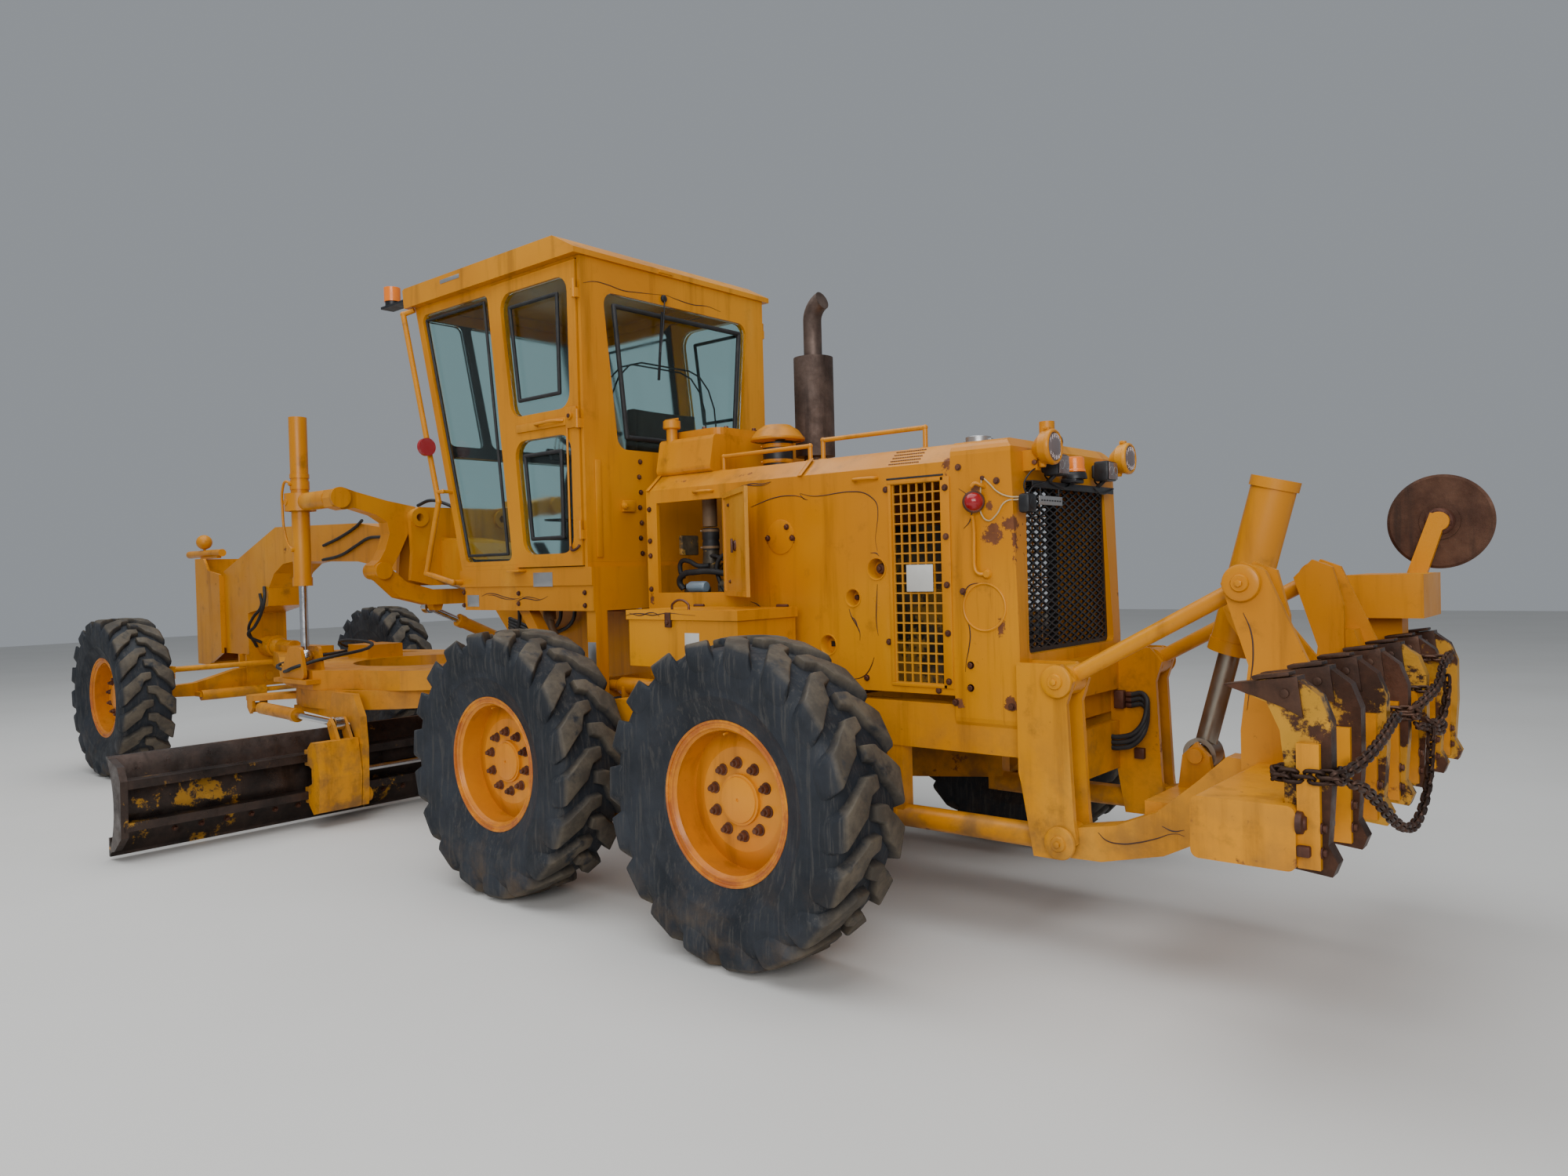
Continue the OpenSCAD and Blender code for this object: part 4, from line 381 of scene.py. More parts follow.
finish = {
    "paint": yellow("machine_paint"),
    "cab_paint": yellow("cab_paint", grime=0.22, rust=0.02),
    "low_paint": yellow("low_paint", grime=0.75, rust=0.42, mud_top=1.3, gloss=0.45),
    "shell_paint": yellow("shell_paint", grime=0.5, rust=0.45, mud_top=1.2),
    "radiator_paint": yellow("radiator_paint", grime=0.55, rust=0.35, mud_top=1.2, patches=RADIATOR_RUST),
    "hood_paint": yellow("hood_paint", grime=0.40, rust=0.12, patches=HOOD_RUST),
    "screen_paint": weathered_paint("screen_paint", (0.48, 0.19, 0.012),
        (0.60, 0.27, 0.02), grime=0.7, rust=0.5),
    "rusty_bolt": worn_steel("rusty_bolt", (0.075, 0.026, 0.016), (0.16, 0.065, 0.035), metallic=0.5),
    "tool_steel": worn_steel("tool_steel", (0.040, 0.022, 0.016),
        (0.105, 0.050, 0.030), (0.55, 0.26, 0.03), 0.15),
    "shank_steel": worn_steel("shank_steel", (0.045, 0.022, 0.014), (0.12, 0.050, 0.028),
        (0.58, 0.29, 0.03), 0.62),
    "blade_steel": worn_steel("blade_steel", (0.030, 0.024, 0.022), (0.075, 0.050, 0.040),
        (0.50, 0.25, 0.03), 0.10, gloss=0.3),
    "chain_steel": worn_steel("chain_steel", (0.038, 0.020, 0.014), (0.10, 0.050, 0.032)),
    "disc_steel": worn_steel("disc_steel", (0.060, 0.026, 0.016), (0.125, 0.060, 0.035), gloss=0.5),
    "stack_steel": worn_steel("stack_steel", (0.060, 0.040, 0.032), (0.15, 0.105, 0.085), gloss=0.55),
    "engine_metal": worn_steel("engine_metal", (0.030, 0.024, 0.016), (0.16, 0.125, 0.075),
        (0.42, 0.24, 0.05), 0.5, metallic=0.3),
    "bright_rod": plain_finish("bright_rod", (0.62, 0.62, 0.64), 0.16, 1.0, 0.18),
    "dull_rod": plain_finish("dull_rod", (0.30, 0.26, 0.21), 0.35, 0.9, 0.5),
    "black_steel": plain_finish("black_steel", (0.012, 0.012, 0.014), 0.42, 0.2),
    "black_rubber": plain_finish("black_rubber", (0.010, 0.010, 0.011), 0.62),
    "trim": plain_finish("trim", (0.020, 0.020, 0.022), 0.7),
    "seat_cloth": plain_finish("seat_cloth", (0.035, 0.022, 0.015), 0.85, bump=0.4, scale=14.0),
    "pinstripe": plain_finish("pinstripe", (0.050, 0.018, 0.008), 0.5),
    "silver": plain_finish("silver", (0.42, 0.42, 0.42), 0.35, 0.8),
    "amber": plain_finish("amber", (0.85, 0.20, 0.01), 0.18),
    "red_lens": plain_finish("red_lens", (0.30, 0.008, 0.012), 0.15),
    "lamp_lens": plain_finish("lamp_lens", (0.20, 0.155, 0.150), 0.08, 0.35, 0.15, bump=0.02),
    # near-black for the hood's inner faces: painted shade standing in for the dark engine bay
    "bay_painted_shade": plain_finish("bay_painted_shade", (0.010, 0.009, 0.008), 0.7),
    "dusty_pipe": plain_finish("dusty_pipe", (0.20, 0.125, 0.065), 0.6, 0.3, 0.5),
    "pale_blue": plain_finish("pale_blue", (0.20, 0.27, 0.33), 0.35, 0.2, 0.4),
    "pale_wire": plain_finish("pale_wire", (0.46, 0.34, 0.17), 0.55),
    "plate_white": plain_finish("plate_white", (0.55, 0.54, 0.50), 0.45),
    "tyre": tyre_rubber(),
    "glass": tinted_glass(),
}
for wheel, (x, side) in WHEELS.items():
    finish["rim_" + wheel] = weathered_paint(
        "wheel_paint_" + wheel, (0.64, 0.20, 0.006), (0.72, 0.28, 0.012),
        grime=0.3, rust=0.18, mud_top=0.45,
        edge_wheel=at(x, side * WHEEL_Y, AXLE_Z))


def coat(node, key):
    """Gives a CAD node its finish."""
    materials = nodes[node].data.materials
    materials.clear()
    materials.append(finish[key])


# Each finish and the CAD nodes that have it
COATS = {
    "low_paint": ("rear_frame", "tandem_drive", "front_axle", "knuckle_left", "knuckle_right", "tie_rod",
        "drawbar", "blade_circle", "blade_carrier", "tip_barrel"),
    "engine_metal": ("engine_block",),
    "hood_paint": ("engine_hood",),
    "screen_paint": ("side_screens", "engine_door"),
    "radiator_paint": ("radiator_shell",),
    "black_steel": ("radiator_grille",),
    "stack_steel": ("exhaust",),
    "paint": ("hydraulic_tank", "battery_boxes", "ripper_arms", "ripper_links", "ripper_barrel",
        "main_frame", "front_post", "lift_barrel_left", "lift_barrel_right",
        "centre_barrel", "cab_fittings"),
    "shell_paint": ("ripper_bracket", "ripper_carriage", "lift_arms"),
    "shank_steel": ("ripper_shanks",),
    "chain_steel": ("ripper_chain",),
    "dull_rod": ("ripper_rod",),
    "disc_steel": ("edge_cutter",),
    "bright_rod": ("lift_rod_left", "lift_rod_right", "centre_rod", "shift_rod", "tip_rod"),
    "blade_steel": ("moldboard",),
    "cab_paint": ("cab_base", "cab_shell", "cab_roof", "cab_door_left", "cab_door_right"),
    "glass": ("cab_glass",),
    "trim": ("cab_interior",),
}
for key, names in COATS.items():
    for node in names:
        coat(node, key)
for wheel in WHEELS:
    coat("rim_" + wheel, "rim_" + wheel)
    coat("tyre_" + wheel, "tyre")


def tint(node, key, low, high):
    """Gives a second finish to the faces of a CAD node that lie wholly inside a box."""
    obj = nodes[node]
    obj.data.materials.append(finish[key])
    low, high = at(*low), at(*high)
    index = len(obj.data.materials) - 1
    inside = [all(low[a] <= v.co[a] <= high[a] for a in range(3)) for v in obj.data.vertices]
    for face in obj.data.polygons:
        if all(inside[v] for v in face.vertices):
            face.material_index = index


DOOR_PANE_Y = 0.7245
for side, hand in ((1, "left"), (-1, "right")):
    y0, y1 = sorted((side * (DOOR_PANE_Y - 0.0035), side * (DOOR_PANE_Y + 0.0035)))
    tint("cab_door_" + hand, "glass", (0.80, y0, 1.70), (1.55, y1, 3.30))
    y0, y1 = sorted((side * 0.70, side * 0.90))
    tint("cab_fittings", "red_lens", (2.125, y0, 2.36), (2.166, y1, 2.48))
tint("cab_fittings", "black_steel", (2.2, 0.60, 3.380), (3.2, 0.80, 3.4305))
tint("cab_fittings", "amber", (2.2, 0.60, 3.4285), (3.2, 0.80, 3.53))
tint("engine_hood", "black_steel", (-0.20, 0.03, 2.125), (0.03, 0.21, 2.2901))
tint("engine_hood", "silver", (-1.30, -0.07, 2.126), (-1.16, 0.07, 2.21))

# Points nearer than this are one, in metres
MERGE = 1e-5


def only(obj):
    """Makes this the one object that is selected."""
    bpy.ops.object.select_all(action="DESELECT")
    obj.select_set(True)
    bpy.context.view_layer.objects.active = obj


def settle(obj):
    """Puts the object's place into its mesh."""
    only(obj)
    bpy.ops.object.transform_apply(location=True, rotation=True, scale=True)
    return obj


def harden(obj, width, segments=2, angle=35.0):
    """Eases the edges sharper than an angle in degrees."""
    modifier = obj.modifiers.new("edge", "BEVEL")
    modifier.width = width
    modifier.segments = segments
    modifier.limit_method = "ANGLE"
    modifier.angle_limit = math.radians(angle)
    only(obj)
    bpy.ops.object.modifier_apply(modifier="edge")
    return obj


def block(low, high, edge=0.004, turn=(0.0, 0.0, 0.0)):
    """A machined block between two corners, its edges eased, turned about its middle."""
    low, high = Vector(low), Vector(high)
    bpy.ops.mesh.primitive_cube_add(size=1.0, location=(low + high) / 2)
    obj = bpy.context.object
    obj.scale = high - low
    only(obj)
    bpy.ops.object.transform_apply(location=False, rotation=False, scale=True)
    if edge:
        harden(obj, edge)
    obj.rotation_euler = turn
    return settle(obj)


def drum(start, end, radius, end_radius=None, sides=24, edge=0.003):
    """A round bar, cap or cone from one place to another."""
    start, end = Vector(start), Vector(end)
    along = end - start
    bpy.ops.mesh.primitive_cone_add(vertices=sides, radius1=radius,
        radius2=radius if end_radius is None else end_radius, depth=along.length)
    obj = bpy.context.object
    if edge:
        harden(obj, edge)
    obj.rotation_euler = along.to_track_quat("Z", "Y").to_euler()
    obj.location = (start + end) / 2
    return settle(obj)


def drawn_line(places, radius, around=3, along=6, bent=True, closed=False, swell=None, caps=False):
    """A round line through its places, as a mesh: bent smoothly, or straight from place to place."""
    data = bpy.data.curves.new("line", "CURVE")
    data.dimensions = "3D"
    data.bevel_depth = radius
    data.bevel_resolution = around
    data.resolution_u = along
    data.use_fill_caps = caps
    spline = data.splines.new("BEZIER" if bent else "POLY")
    points = spline.bezier_points if bent else spline.points
    points.add(len(places) - 1)
    for i, (point, place) in enumerate(zip(points, places)):
        if bent:
            point.co = place
            point.handle_left_type = point.handle_right_type = "AUTO"
        else:
            point.co = (*place, 1.0)
        if swell:
            point.radius = swell(i / (len(places) - 1))
    spline.use_cyclic_u = closed
    only(placed("line", data))
    bpy.ops.object.convert(target="MESH")
    return bpy.context.object


def face_outward(merge=False):
    """Points the active mesh's faces outwards, with its doubled points merged first if asked."""
    bpy.ops.object.mode_set(mode="EDIT")
    bpy.ops.mesh.select_all(action="SELECT")
    if merge:
        bpy.ops.mesh.remove_doubles(threshold=MERGE)
    bpy.ops.mesh.normals_make_consistent(inside=False)
    bpy.ops.object.mode_set(mode="OBJECT")


def cut_cube(size, cuts):
    """A cube with its faces cut into a grid."""
    bpy.ops.mesh.primitive_cube_add(size=size)
    bpy.ops.object.mode_set(mode="EDIT")
    bpy.ops.mesh.select_all(action="SELECT")
    bpy.ops.mesh.subdivide(number_cuts=cuts)
    bpy.ops.object.mode_set(mode="OBJECT")
    return bpy.context.object


def turned(profile, place, along=(0.0, 0.0, 1.0), steps=32, closed=False):
    """A turned piece: radius and height pairs spun about the line through place."""
    obj = drawn_line([(radius, 0.0, height) for radius, height in profile], 0.0, bent=False, closed=closed)
    modifier = obj.modifiers.new("spin", "SCREW")
    modifier.steps = modifier.render_steps = steps
    modifier.use_merge_vertices = True
    modifier.merge_threshold = MERGE
    bpy.ops.object.modifier_apply(modifier="spin")
    face_outward(merge=True)
    obj.rotation_euler = Vector(along).to_track_quat("Z", "Y").to_euler()
    obj.location = place
    return settle(obj)


def hose(points, radius, around=3, along=6):
    """A bent pipe or hose through its points, closed at both ends."""
    return drawn_line(points, radius, around, along, caps=True)


def bolt_form(radius=0.014, head=0.010, washer=True):
    """One hexagon bolt head on its washer, standing up on z at the origin."""
    bpy.ops.mesh.primitive_cylinder_add(vertices=6, radius=radius, depth=head,
        location=(0, 0, head / 2 + 0.003))
    obj = harden(bpy.context.object, radius * 0.12, 1)
    if washer:
        bpy.ops.mesh.primitive_cylinder_add(vertices=16, radius=radius * 1.35,
            depth=0.004, location=(0, 0, 0.001))
        obj = joined([obj, bpy.context.object])
    return settle(obj)


def twin_of(form, move):
    """A copy of a form, moved in its mesh."""
    twin = placed(form.name, form.data.copy())
    twin.data.transform(move)
    return twin


def joined(pieces):
    """Several pieces made one."""
    bpy.ops.object.select_all(action="DESELECT")
    for piece in pieces:
        piece.select_set(True)
    bpy.context.view_layer.objects.active = pieces[0]
    if len(pieces) > 1:
        bpy.ops.object.join()
    return bpy.context.object


def copies(form, places, outward=(0.0, 0.0, 1.0)):
    """Copies of one small form, each standing on its place with its top outward."""
    made = []
    for i, place in enumerate(places):
        facing = Vector(outward[i] if isinstance(outward, list) else outward)
        turn = facing.to_track_quat("Z", "Y").to_matrix().to_4x4()
        spin = Matrix.Rotation(0.7 * i, 4, "Z")
        made.append(twin_of(form, Matrix.Translation(Vector(place)) @ turn @ spin))
    bpy.data.objects.remove(form, do_unlink=True)
    return made


def dress(name, pieces, key, body, smooth=38.0, replaces=()):
    """Joins the pieces of one finish, names them, and lets them ride on their body."""
    obj = joined(pieces if isinstance(pieces, list) else [pieces])
    settle(obj)
    obj.name = obj.data.name = name
    obj.data.materials.clear()
    obj.data.materials.append(finish[key])
    for face in obj.data.polygons:
        face.material_index = 0
    if smooth:
        bpy.ops.object.shade_smooth_by_angle(angle=math.radians(smooth))
    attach(obj, body)
    if replaces:
        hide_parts(*replaces)
    return obj


def surface(node, start, direction):
    """Where a line from start first meets a CAD node, and the way that its skin faces there."""
    found, place, facing, _ = nodes[node].ray_cast(Vector(start), Vector(direction).normalized())
    if not found:
        raise RuntimeError("nothing of %s lies on that line from %s" % (node, tuple(start)))
    return place, facing


# Tyres and wheels
LUGS = 18
WHEEL_NUTS = 10
NUT_CIRCLE_R = 0.150
# Radius and distance out of the middle plane, from one bead over the tread to the other
SIDEWALL = [
    (0.322, 0.132), (0.330, 0.141), (0.345, 0.146), (0.372, 0.157), (0.405, 0.172),
    (0.432, 0.183), (0.438, 0.188),
    (0.444, 0.189), (0.449, 0.1875), (0.475, 0.194), (0.505, 0.1985), (0.535, 0.1985), (0.565, 0.194),
    (0.590, 0.185), (0.608, 0.171), (0.619, 0.150), (0.625, 0.115), (0.629, 0.060), (0.631, 0.0),
]
# Along one lug from the tread's middle to its foot on the sidewall:
# top radius and side, foot radius and side, place round the wheel, half width at the top and at the foot
LUG_STATIONS = [
    (0.668, -0.018, 0.618, -0.018, 0.034, 0.026, 0.036),
    (0.670, 0.040, 0.618, 0.040, 0.022, 0.034, 0.044),
    (0.669, 0.058, 0.618, 0.056, 0.004, 0.050, 0.058),
    (0.668, 0.072, 0.618, 0.070, -0.024, 0.060, 0.070),
    (0.667, 0.110, 0.614, 0.106, -0.052, 0.060, 0.073),
    (0.664, 0.155, 0.604, 0.145, -0.092, 0.062, 0.080),
    (0.659, 0.182, 0.590, 0.166, -0.118, 0.066, 0.088),
    (0.640, 0.198, 0.578, 0.178, -0.132, 0.066, 0.094),
    (0.606, 0.2045, 0.560, 0.184, -0.142, 0.060, 0.097),
    (0.570, 0.2045, 0.545, 0.188, -0.147, 0.048, 0.096),
    (0.540, 0.2000, 0.532, 0.190, -0.149, 0.036, 0.094),
]

# Radius at which a lug's half widths are measured round the wheel
LUG_ROUND_R = 0.65


def lug_form():
    """One tread lug: a slice extruded station by station from the tread's middle down the shoulder."""
    bpy.ops.mesh.primitive_plane_add(size=0.1)
    obj = bpy.context.object
    bpy.ops.object.mode_set(mode="EDIT")
    for _ in LUG_STATIONS[1:]:
        bpy.ops.mesh.extrude_region_move(TRANSFORM_OT_translate={"value": (0.0, 0.02, 0.0)})
    bpy.ops.object.mode_set(mode="OBJECT")
    mesh = obj.data
    for index, station in enumerate(LUG_STATIONS):
        top_r, top_y, foot_r, foot_y, round_wheel, half_top, half_foot = station
        corners = ((foot_r, foot_y, -half_foot), (foot_r, foot_y, half_foot), (top_r, top_y, -half_top),
            (top_r, top_y, half_top))
        for corner, (radius, y, half) in enumerate(corners):
            angle = (round_wheel + half) / LUG_ROUND_R
            mesh.vertices[4 * index + corner].co = (radius * math.sin(angle), y, radius * math.cos(angle))
    face_outward()
    return harden(obj, 0.007, 2, 32.0)


def tyre_form():
    """One tyre about the origin, its axle along y: a turned carcass and two rows of lugs."""
    section = SIDEWALL + [(r, -y) for r, y in reversed(SIDEWALL[:-1])]
    carcass = turned(section, (0, 0, 0), (0.0, 1.0, 0.0), steps=90, closed=True)
    lug = lug_form()
    pieces = [carcass]
    for side in (1, -1):
        for i in range(LUGS):
            turn = Matrix.Rotation(2 * math.pi * (i + (0.5 if side < 0 else 0.0)) / LUGS, 4, "Y")
            twin = twin_of(lug, turn @ Matrix.Diagonal((1.0, side, 1.0, 1.0)))
            if side < 0:
                twin.data.flip_normals()
            pieces.append(twin)
    bpy.data.objects.remove(lug, do_unlink=True)
    return joined(pieces)


def mark_wear(mesh):
    """Keeps how worn each point of a tyre is: full on the lug tops, none in the hollows."""
    wear = mesh.attributes.new("worn", "FLOAT", "POINT")
    wear.data.foreach_set("value", [min(1.0, max(0.0,
        (math.hypot(v.co.x, v.co.z) - 0.638) / 0.018)) for v in mesh.vertices])


def wheel_nut():
    """A wheel nut on its stud, out along z."""
    nut = drum((0, 0, -0.004), (0, 0, 0.026), 0.021, 0.019, sides=6, edge=0.002)
    collar = drum((0, 0, -0.004), (0, 0, 0.006), 0.027, 0.024, sides=20, edge=0.001)
    stud = drum((0, 0, 0.02), (0, 0, 0.040), 0.011, sides=12, edge=0.002)
    return joined([nut, collar, stud])


tyre_master = tyre_form()
mark_wear(tyre_master.data)
for wheel, (x, side) in WHEELS.items():
    hub = at(x, side * WHEEL_Y, AXLE_Z)
    # each tyre stands at its own angle
    twin = twin_of(tyre_master, Matrix.Translation(hub) @ Matrix.Rotation(0.4 * x + side, 4, "Y"))
    dress("tread_" + wheel, twin, "tyre", "wheel_" + wheel, 42.0, ("tyre_" + wheel,))
    out = Vector((0.0, side, 0.0))
    nut_places = []
    for i in range(WHEEL_NUTS):
        angle = 2 * math.pi * (i + 0.35) / WHEEL_NUTS
        nut_places.append(hub + out * 0.038 + NUT_CIRCLE_R * Vector((math.cos(angle), 0.0,
            math.sin(angle))))
    dress("nuts_" + wheel, copies(wheel_nut(), nut_places, tuple(out)),
        "rusty_bolt", "wheel_" + wheel, 30.0)
    cap = turned(mm((0, 4), (6, 4), (8, 10), (85, 10), (94, 7), (97, -2), (0, -2)),
        hub + out * 0.055, tuple(out), 40)
    ring = turned(mm((304, 138), (306.5, 141.5), (311, 143), (315.5, 141.5), (318, 138)),
        hub, tuple(out), 72, closed=True)
    lip = turned(mm((326, 138), (327.5, 144.5), (332, 147.5), (337.5, 146.5), (340, 142), (338.5, 136)),
        hub, tuple(out), 72, closed=True)
    valve = drum(hub + out * 0.10 + Vector((0.0, 0, 0.286)),
        hub + out * 0.135 + Vector((0, 0, 0.279)), 0.005, sides=10)
    dress("wheel_trim_" + wheel, [cap, ring, lip, valve], "rim_" + wheel, "wheel_" + wheel, 35.0)
bpy.data.objects.remove(tyre_master, do_unlink=True)

# Painted lines and seals

def rounded_loop(corners, radius, steps=5):
    """Corners of a flat outline with each one rounded, as pairs."""
    loop = []
    count = len(corners)
    for i, corner in enumerate(corners):
        here = Vector(corner)
        back = (Vector(corners[i - 1]) - here).normalized()
        on = (Vector(corners[(i + 1) % count]) - here).normalized()
        half = back.angle(on) / 2
        reach = radius / math.tan(half)
        middle = here + (back + on).normalized() * radius / math.sin(half)
        first, last = here + back * reach - middle, here + on * reach - middle
        for k in range(steps + 1):
            loop.append(middle + first.slerp(last, k / steps) if radius else here)
    return [tuple(p) for p in loop]


def rubber_loop(places, radius, around=3):
    """A closed ring of round section through its places."""
    return drawn_line(places, radius, around, bent=False, closed=True)


def brush_line(node, places, direction, width=0.0032):
    """A painted line with tapered ends that lies on a CAD node, seen along direction."""
    direction = Vector(direction).normalized()

    def taper(along):
        """The stroke's width from nought to one along it: full in the middle, a quarter at its ends."""
        if along >= 0.86:
            return 0.25
        return 0.25 + 0.75 * math.sin(math.pi * min(1.0, along * 1.15 + 0.02)) ** 0.7

    obj = drawn_line(places, width, 1, 5, swell=taper)
    for vertex, normal in zip(obj.data.vertices, [v.normal.copy() for v in obj.data.vertices]):
        found, place, facing, _ = nodes[node].ray_cast(vertex.co - direction * 0.25, direction)
        if found:
            vertex.co = place + facing * (0.0011 if normal.dot(direction) < 0.1 else -0.0008)
    return obj


def side_lines(name, node, body, strokes, y, both=True, width=0.0032):
    """Painted lines on an upright side, given as pairs forward and up in millimetres."""
    made = []
    for side in ((1, -1) if both else (1,)):
        for stroke in strokes:
            places = [at(x / 1000, side * y, z / 1000) for x, z in stroke]
            made.append(brush_line(node, places, (0.0, -side, 0.0), width))
    return dress(name, made, "pinstripe", body, None)


# Engine housing
HOOD_SIDE = 0.505
side_lines("hood_lines", "engine_hood", "rear_half", [
    [(-126, 1992), (-147, 2014), (-188, 2030), (-268, 2024), (-332, 2024), (-371, 2036)],
    [(-172, 2022), (-237, 2036), (-316, 2030), (-366, 2036)],
    [(-233, 1920), (-297, 1937), (-391, 1957), (-483, 1961), (-557, 1950), (-589, 1934)],
    [(-551, 1968), (-616, 1951), (-688, 1948), (-773, 1954), (-856, 1955), (-924, 1945), (-970, 1920),
        (-995, 1892), (-1001, 1848), (-992, 1784), (-984, 1730), (-993, 1680)],
    [(-550, 1964), (-572, 1942), (-598, 1934)],
    [(-955, 1672), (-988, 1669), (-1001, 1656)],
    [(-989, 1531), (-981, 1436), (-979, 1352), (-987, 1298)],
    [(-826, 1418), (-839, 1383), (-865, 1345), (-884, 1312), (-884, 1274)],
    [(-839, 1383), (-859, 1367), (-875, 1329), (-882, 1312)],
    [(-961, 1199), (-947, 1166), (-926, 1133), (-898, 1110), (-844, 1096), (-809, 1097)],
    [(-216, 1452), (-263, 1437), (-302, 1402), (-320, 1343), (-329, 1272)],
    [(-248, 1443), (-294, 1414), (-316, 1367)],
], HOOD_SIDE)
side_lines("shell_lines", "radiator_shell", "rear_half", [
    [(-1428, 1409), (-1450, 1368), (-1460, 1318), (-1453, 1257), (-1438, 1195), (-1433, 1154)],
    [(-1435, 1450), (-1437, 1485), (-1455, 1515), (-1490, 1528), (-1530, 1525)],
    [(-1440, 1760), (-1470, 1790), (-1480, 1850), (-1460, 1900), (-1420, 1930)],
], HOOD_SIDE)
side_lines("battery_lines", "battery_boxes", "rear_half", [
    [(168, 1404), (118, 1412), (50, 1413), (-18, 1406), (-51, 1409),
        (-118, 1417), (-230, 1411), (-308, 1407)],
    [(144, 1415), (67, 1404), (-1, 1418), (-51, 1412), (-67, 1400)],
], 0.985)

hood_parts, hood_bolts, hood_dark = [], [], []
bolt_places, bolt_ways = [], []
for side in (1, -1):
    def skin(x, z, out=0.0, side=side):
        """A place on the hood's side, or out from it."""
        return at(x, side * (HOOD_SIDE + out), z)
    way = (0.0, side, 0.0)
    # pull handles near the top edge
    for x0, x1, z in ((0.025, 0.148, 2.020), (-1.000, -0.880, 2.006)):
        hood_parts.append(hose([skin(x0, z, -0.004), skin(x0 + 0.004, z, 0.022), skin(x0 + 0.025, z, 0.030),
            skin(x1 - 0.025, z, 0.030), skin(x1 - 0.004, z, 0.022), skin(x1, z, -0.004)], 0.008))
    # round cover over the filler hole, held by clips
    hood_parts.append(drum(skin(-0.424, 1.765, -0.004), skin(-0.424, 1.765, 0.005),
        0.084, sides=56, edge=0.0015))
    for x, z in ((-0.346, 1.760), (-0.500, 1.756)):
        hood_dark.append(drum(skin(x, z, 0.0), skin(x, z, 0.0065), 0.013, sides=18, edge=0.001))
    bolt_places += [skin(x, z, 0.006) for x, z in ((-0.346, 1.762), (-0.500, 1.758), (-0.467, 1.812))]
    bolt_ways += [way] * 3
    # cups behind the three round holes, with what is in them
    for x, z, r in ((-0.985, 1.600, 0.046), (-0.850, 1.470, 0.038), (-0.700, 1.250, 0.044)):
        hood_parts.append(turned([(r + 0.007, 0.001), (r + 0.006, 0.004), (r + 0.001, 0.0035),
            (r - 0.002, -0.002), (r - 0.004, -0.052), (0.0, -0.052), (0.0, -0.056), (r, -0.056),
            (r + 0.002, -0.004)], skin(x, z), way, 40, closed=False))
    hood_bolts.append(drum(skin(-0.990, 1.600, -0.050),
        skin(-0.990, 1.600, -0.020), 0.026, 0.022, sides=28))
    hood_bolts.append(drum(skin(-0.990, 1.600, -0.022),
        skin(-0.990, 1.600, -0.008), 0.012, sides=6, edge=0.002))
    hood_bolts.append(drum(skin(-0.850, 1.470, -0.050),
        skin(-0.850, 1.470, -0.024), 0.013, sides=6, edge=0.002))
    hood_dark.append(block(skin(-0.722, 1.238, -0.049) - Vector((0, 0.002, 0)),
        skin(-0.680, 1.264, -0.049) + Vector((0, 0.002, 0)), 0.006))
    # frame round the side screen
    for x0, x1, z0, z1 in ((-1.346, -1.058, 1.970, 1.986), (-1.346, -1.058, 1.078, 1.094),
            (-1.074, -1.058, 1.094, 1.970), (-1.376, -1.330, 1.078, 1.986)):
        y0, y1 = sorted((side * 0.504, side * 0.511))
        hood_parts.append(block(at(x0, y0, z0), at(x1, y1, z1), 0.002))
    bolt_places += [skin(-1.046, z, 0.0) for z in (1.951, 1.272)]
    bolt_places += [skin(-1.356, z, 0.006) for z in (1.939, 1.730, 1.523, 1.316, 1.109)]
    bolt_ways += [way] * 7
    y0, y1 = sorted((side * 0.500, side * 0.507))
    hood_dark.append(block(at(-1.345, y0, 1.991), at(-1.050, y1, 2.000), 0.002))
    # bolts down the front edge and along the foot of the side
    bolt_places += [skin(0.505, z) for z in (1.95, 1.78, 1.70, 1.52, 1.30)]
    bolt_places += [skin(x, z) for x, z in ((-0.919, 1.105), (-0.400, 1.075),
        (0.100, 1.075), (-1.300, 1.068))]
    bolt_ways += [way] * 9
    bolt_places += [at(x, side * HOOD_SIDE, z) for x, z in ((-1.430, 1.495), (-1.460, 1.184),
        (-1.458, 1.088), (-1.60, 1.95), (-1.42, 2.02))]
    bolt_ways += [way] * 5
hood_bolts += copies(bolt_form(0.011, 0.009), bolt_places, bolt_ways)
dress("hood_fixings", hood_bolts, "rusty_bolt", "rear_half", 30.0)
dress("hood_slots", hood_dark, "black_rubber", "rear_half")

dress("hood_trim", hood_parts, "paint", "rear_half")

# Cab

def door_edge(z):
    """The slanting front edge of a door, in millimetres forward at a height."""
    return 1370 + 185 * (z - 1658) / 1652


def windscreen_edge(z):
    """The slanting front edge of the side window, in millimetres forward at a height."""
    return 1950 + 440 * (z - 1650) / 1680


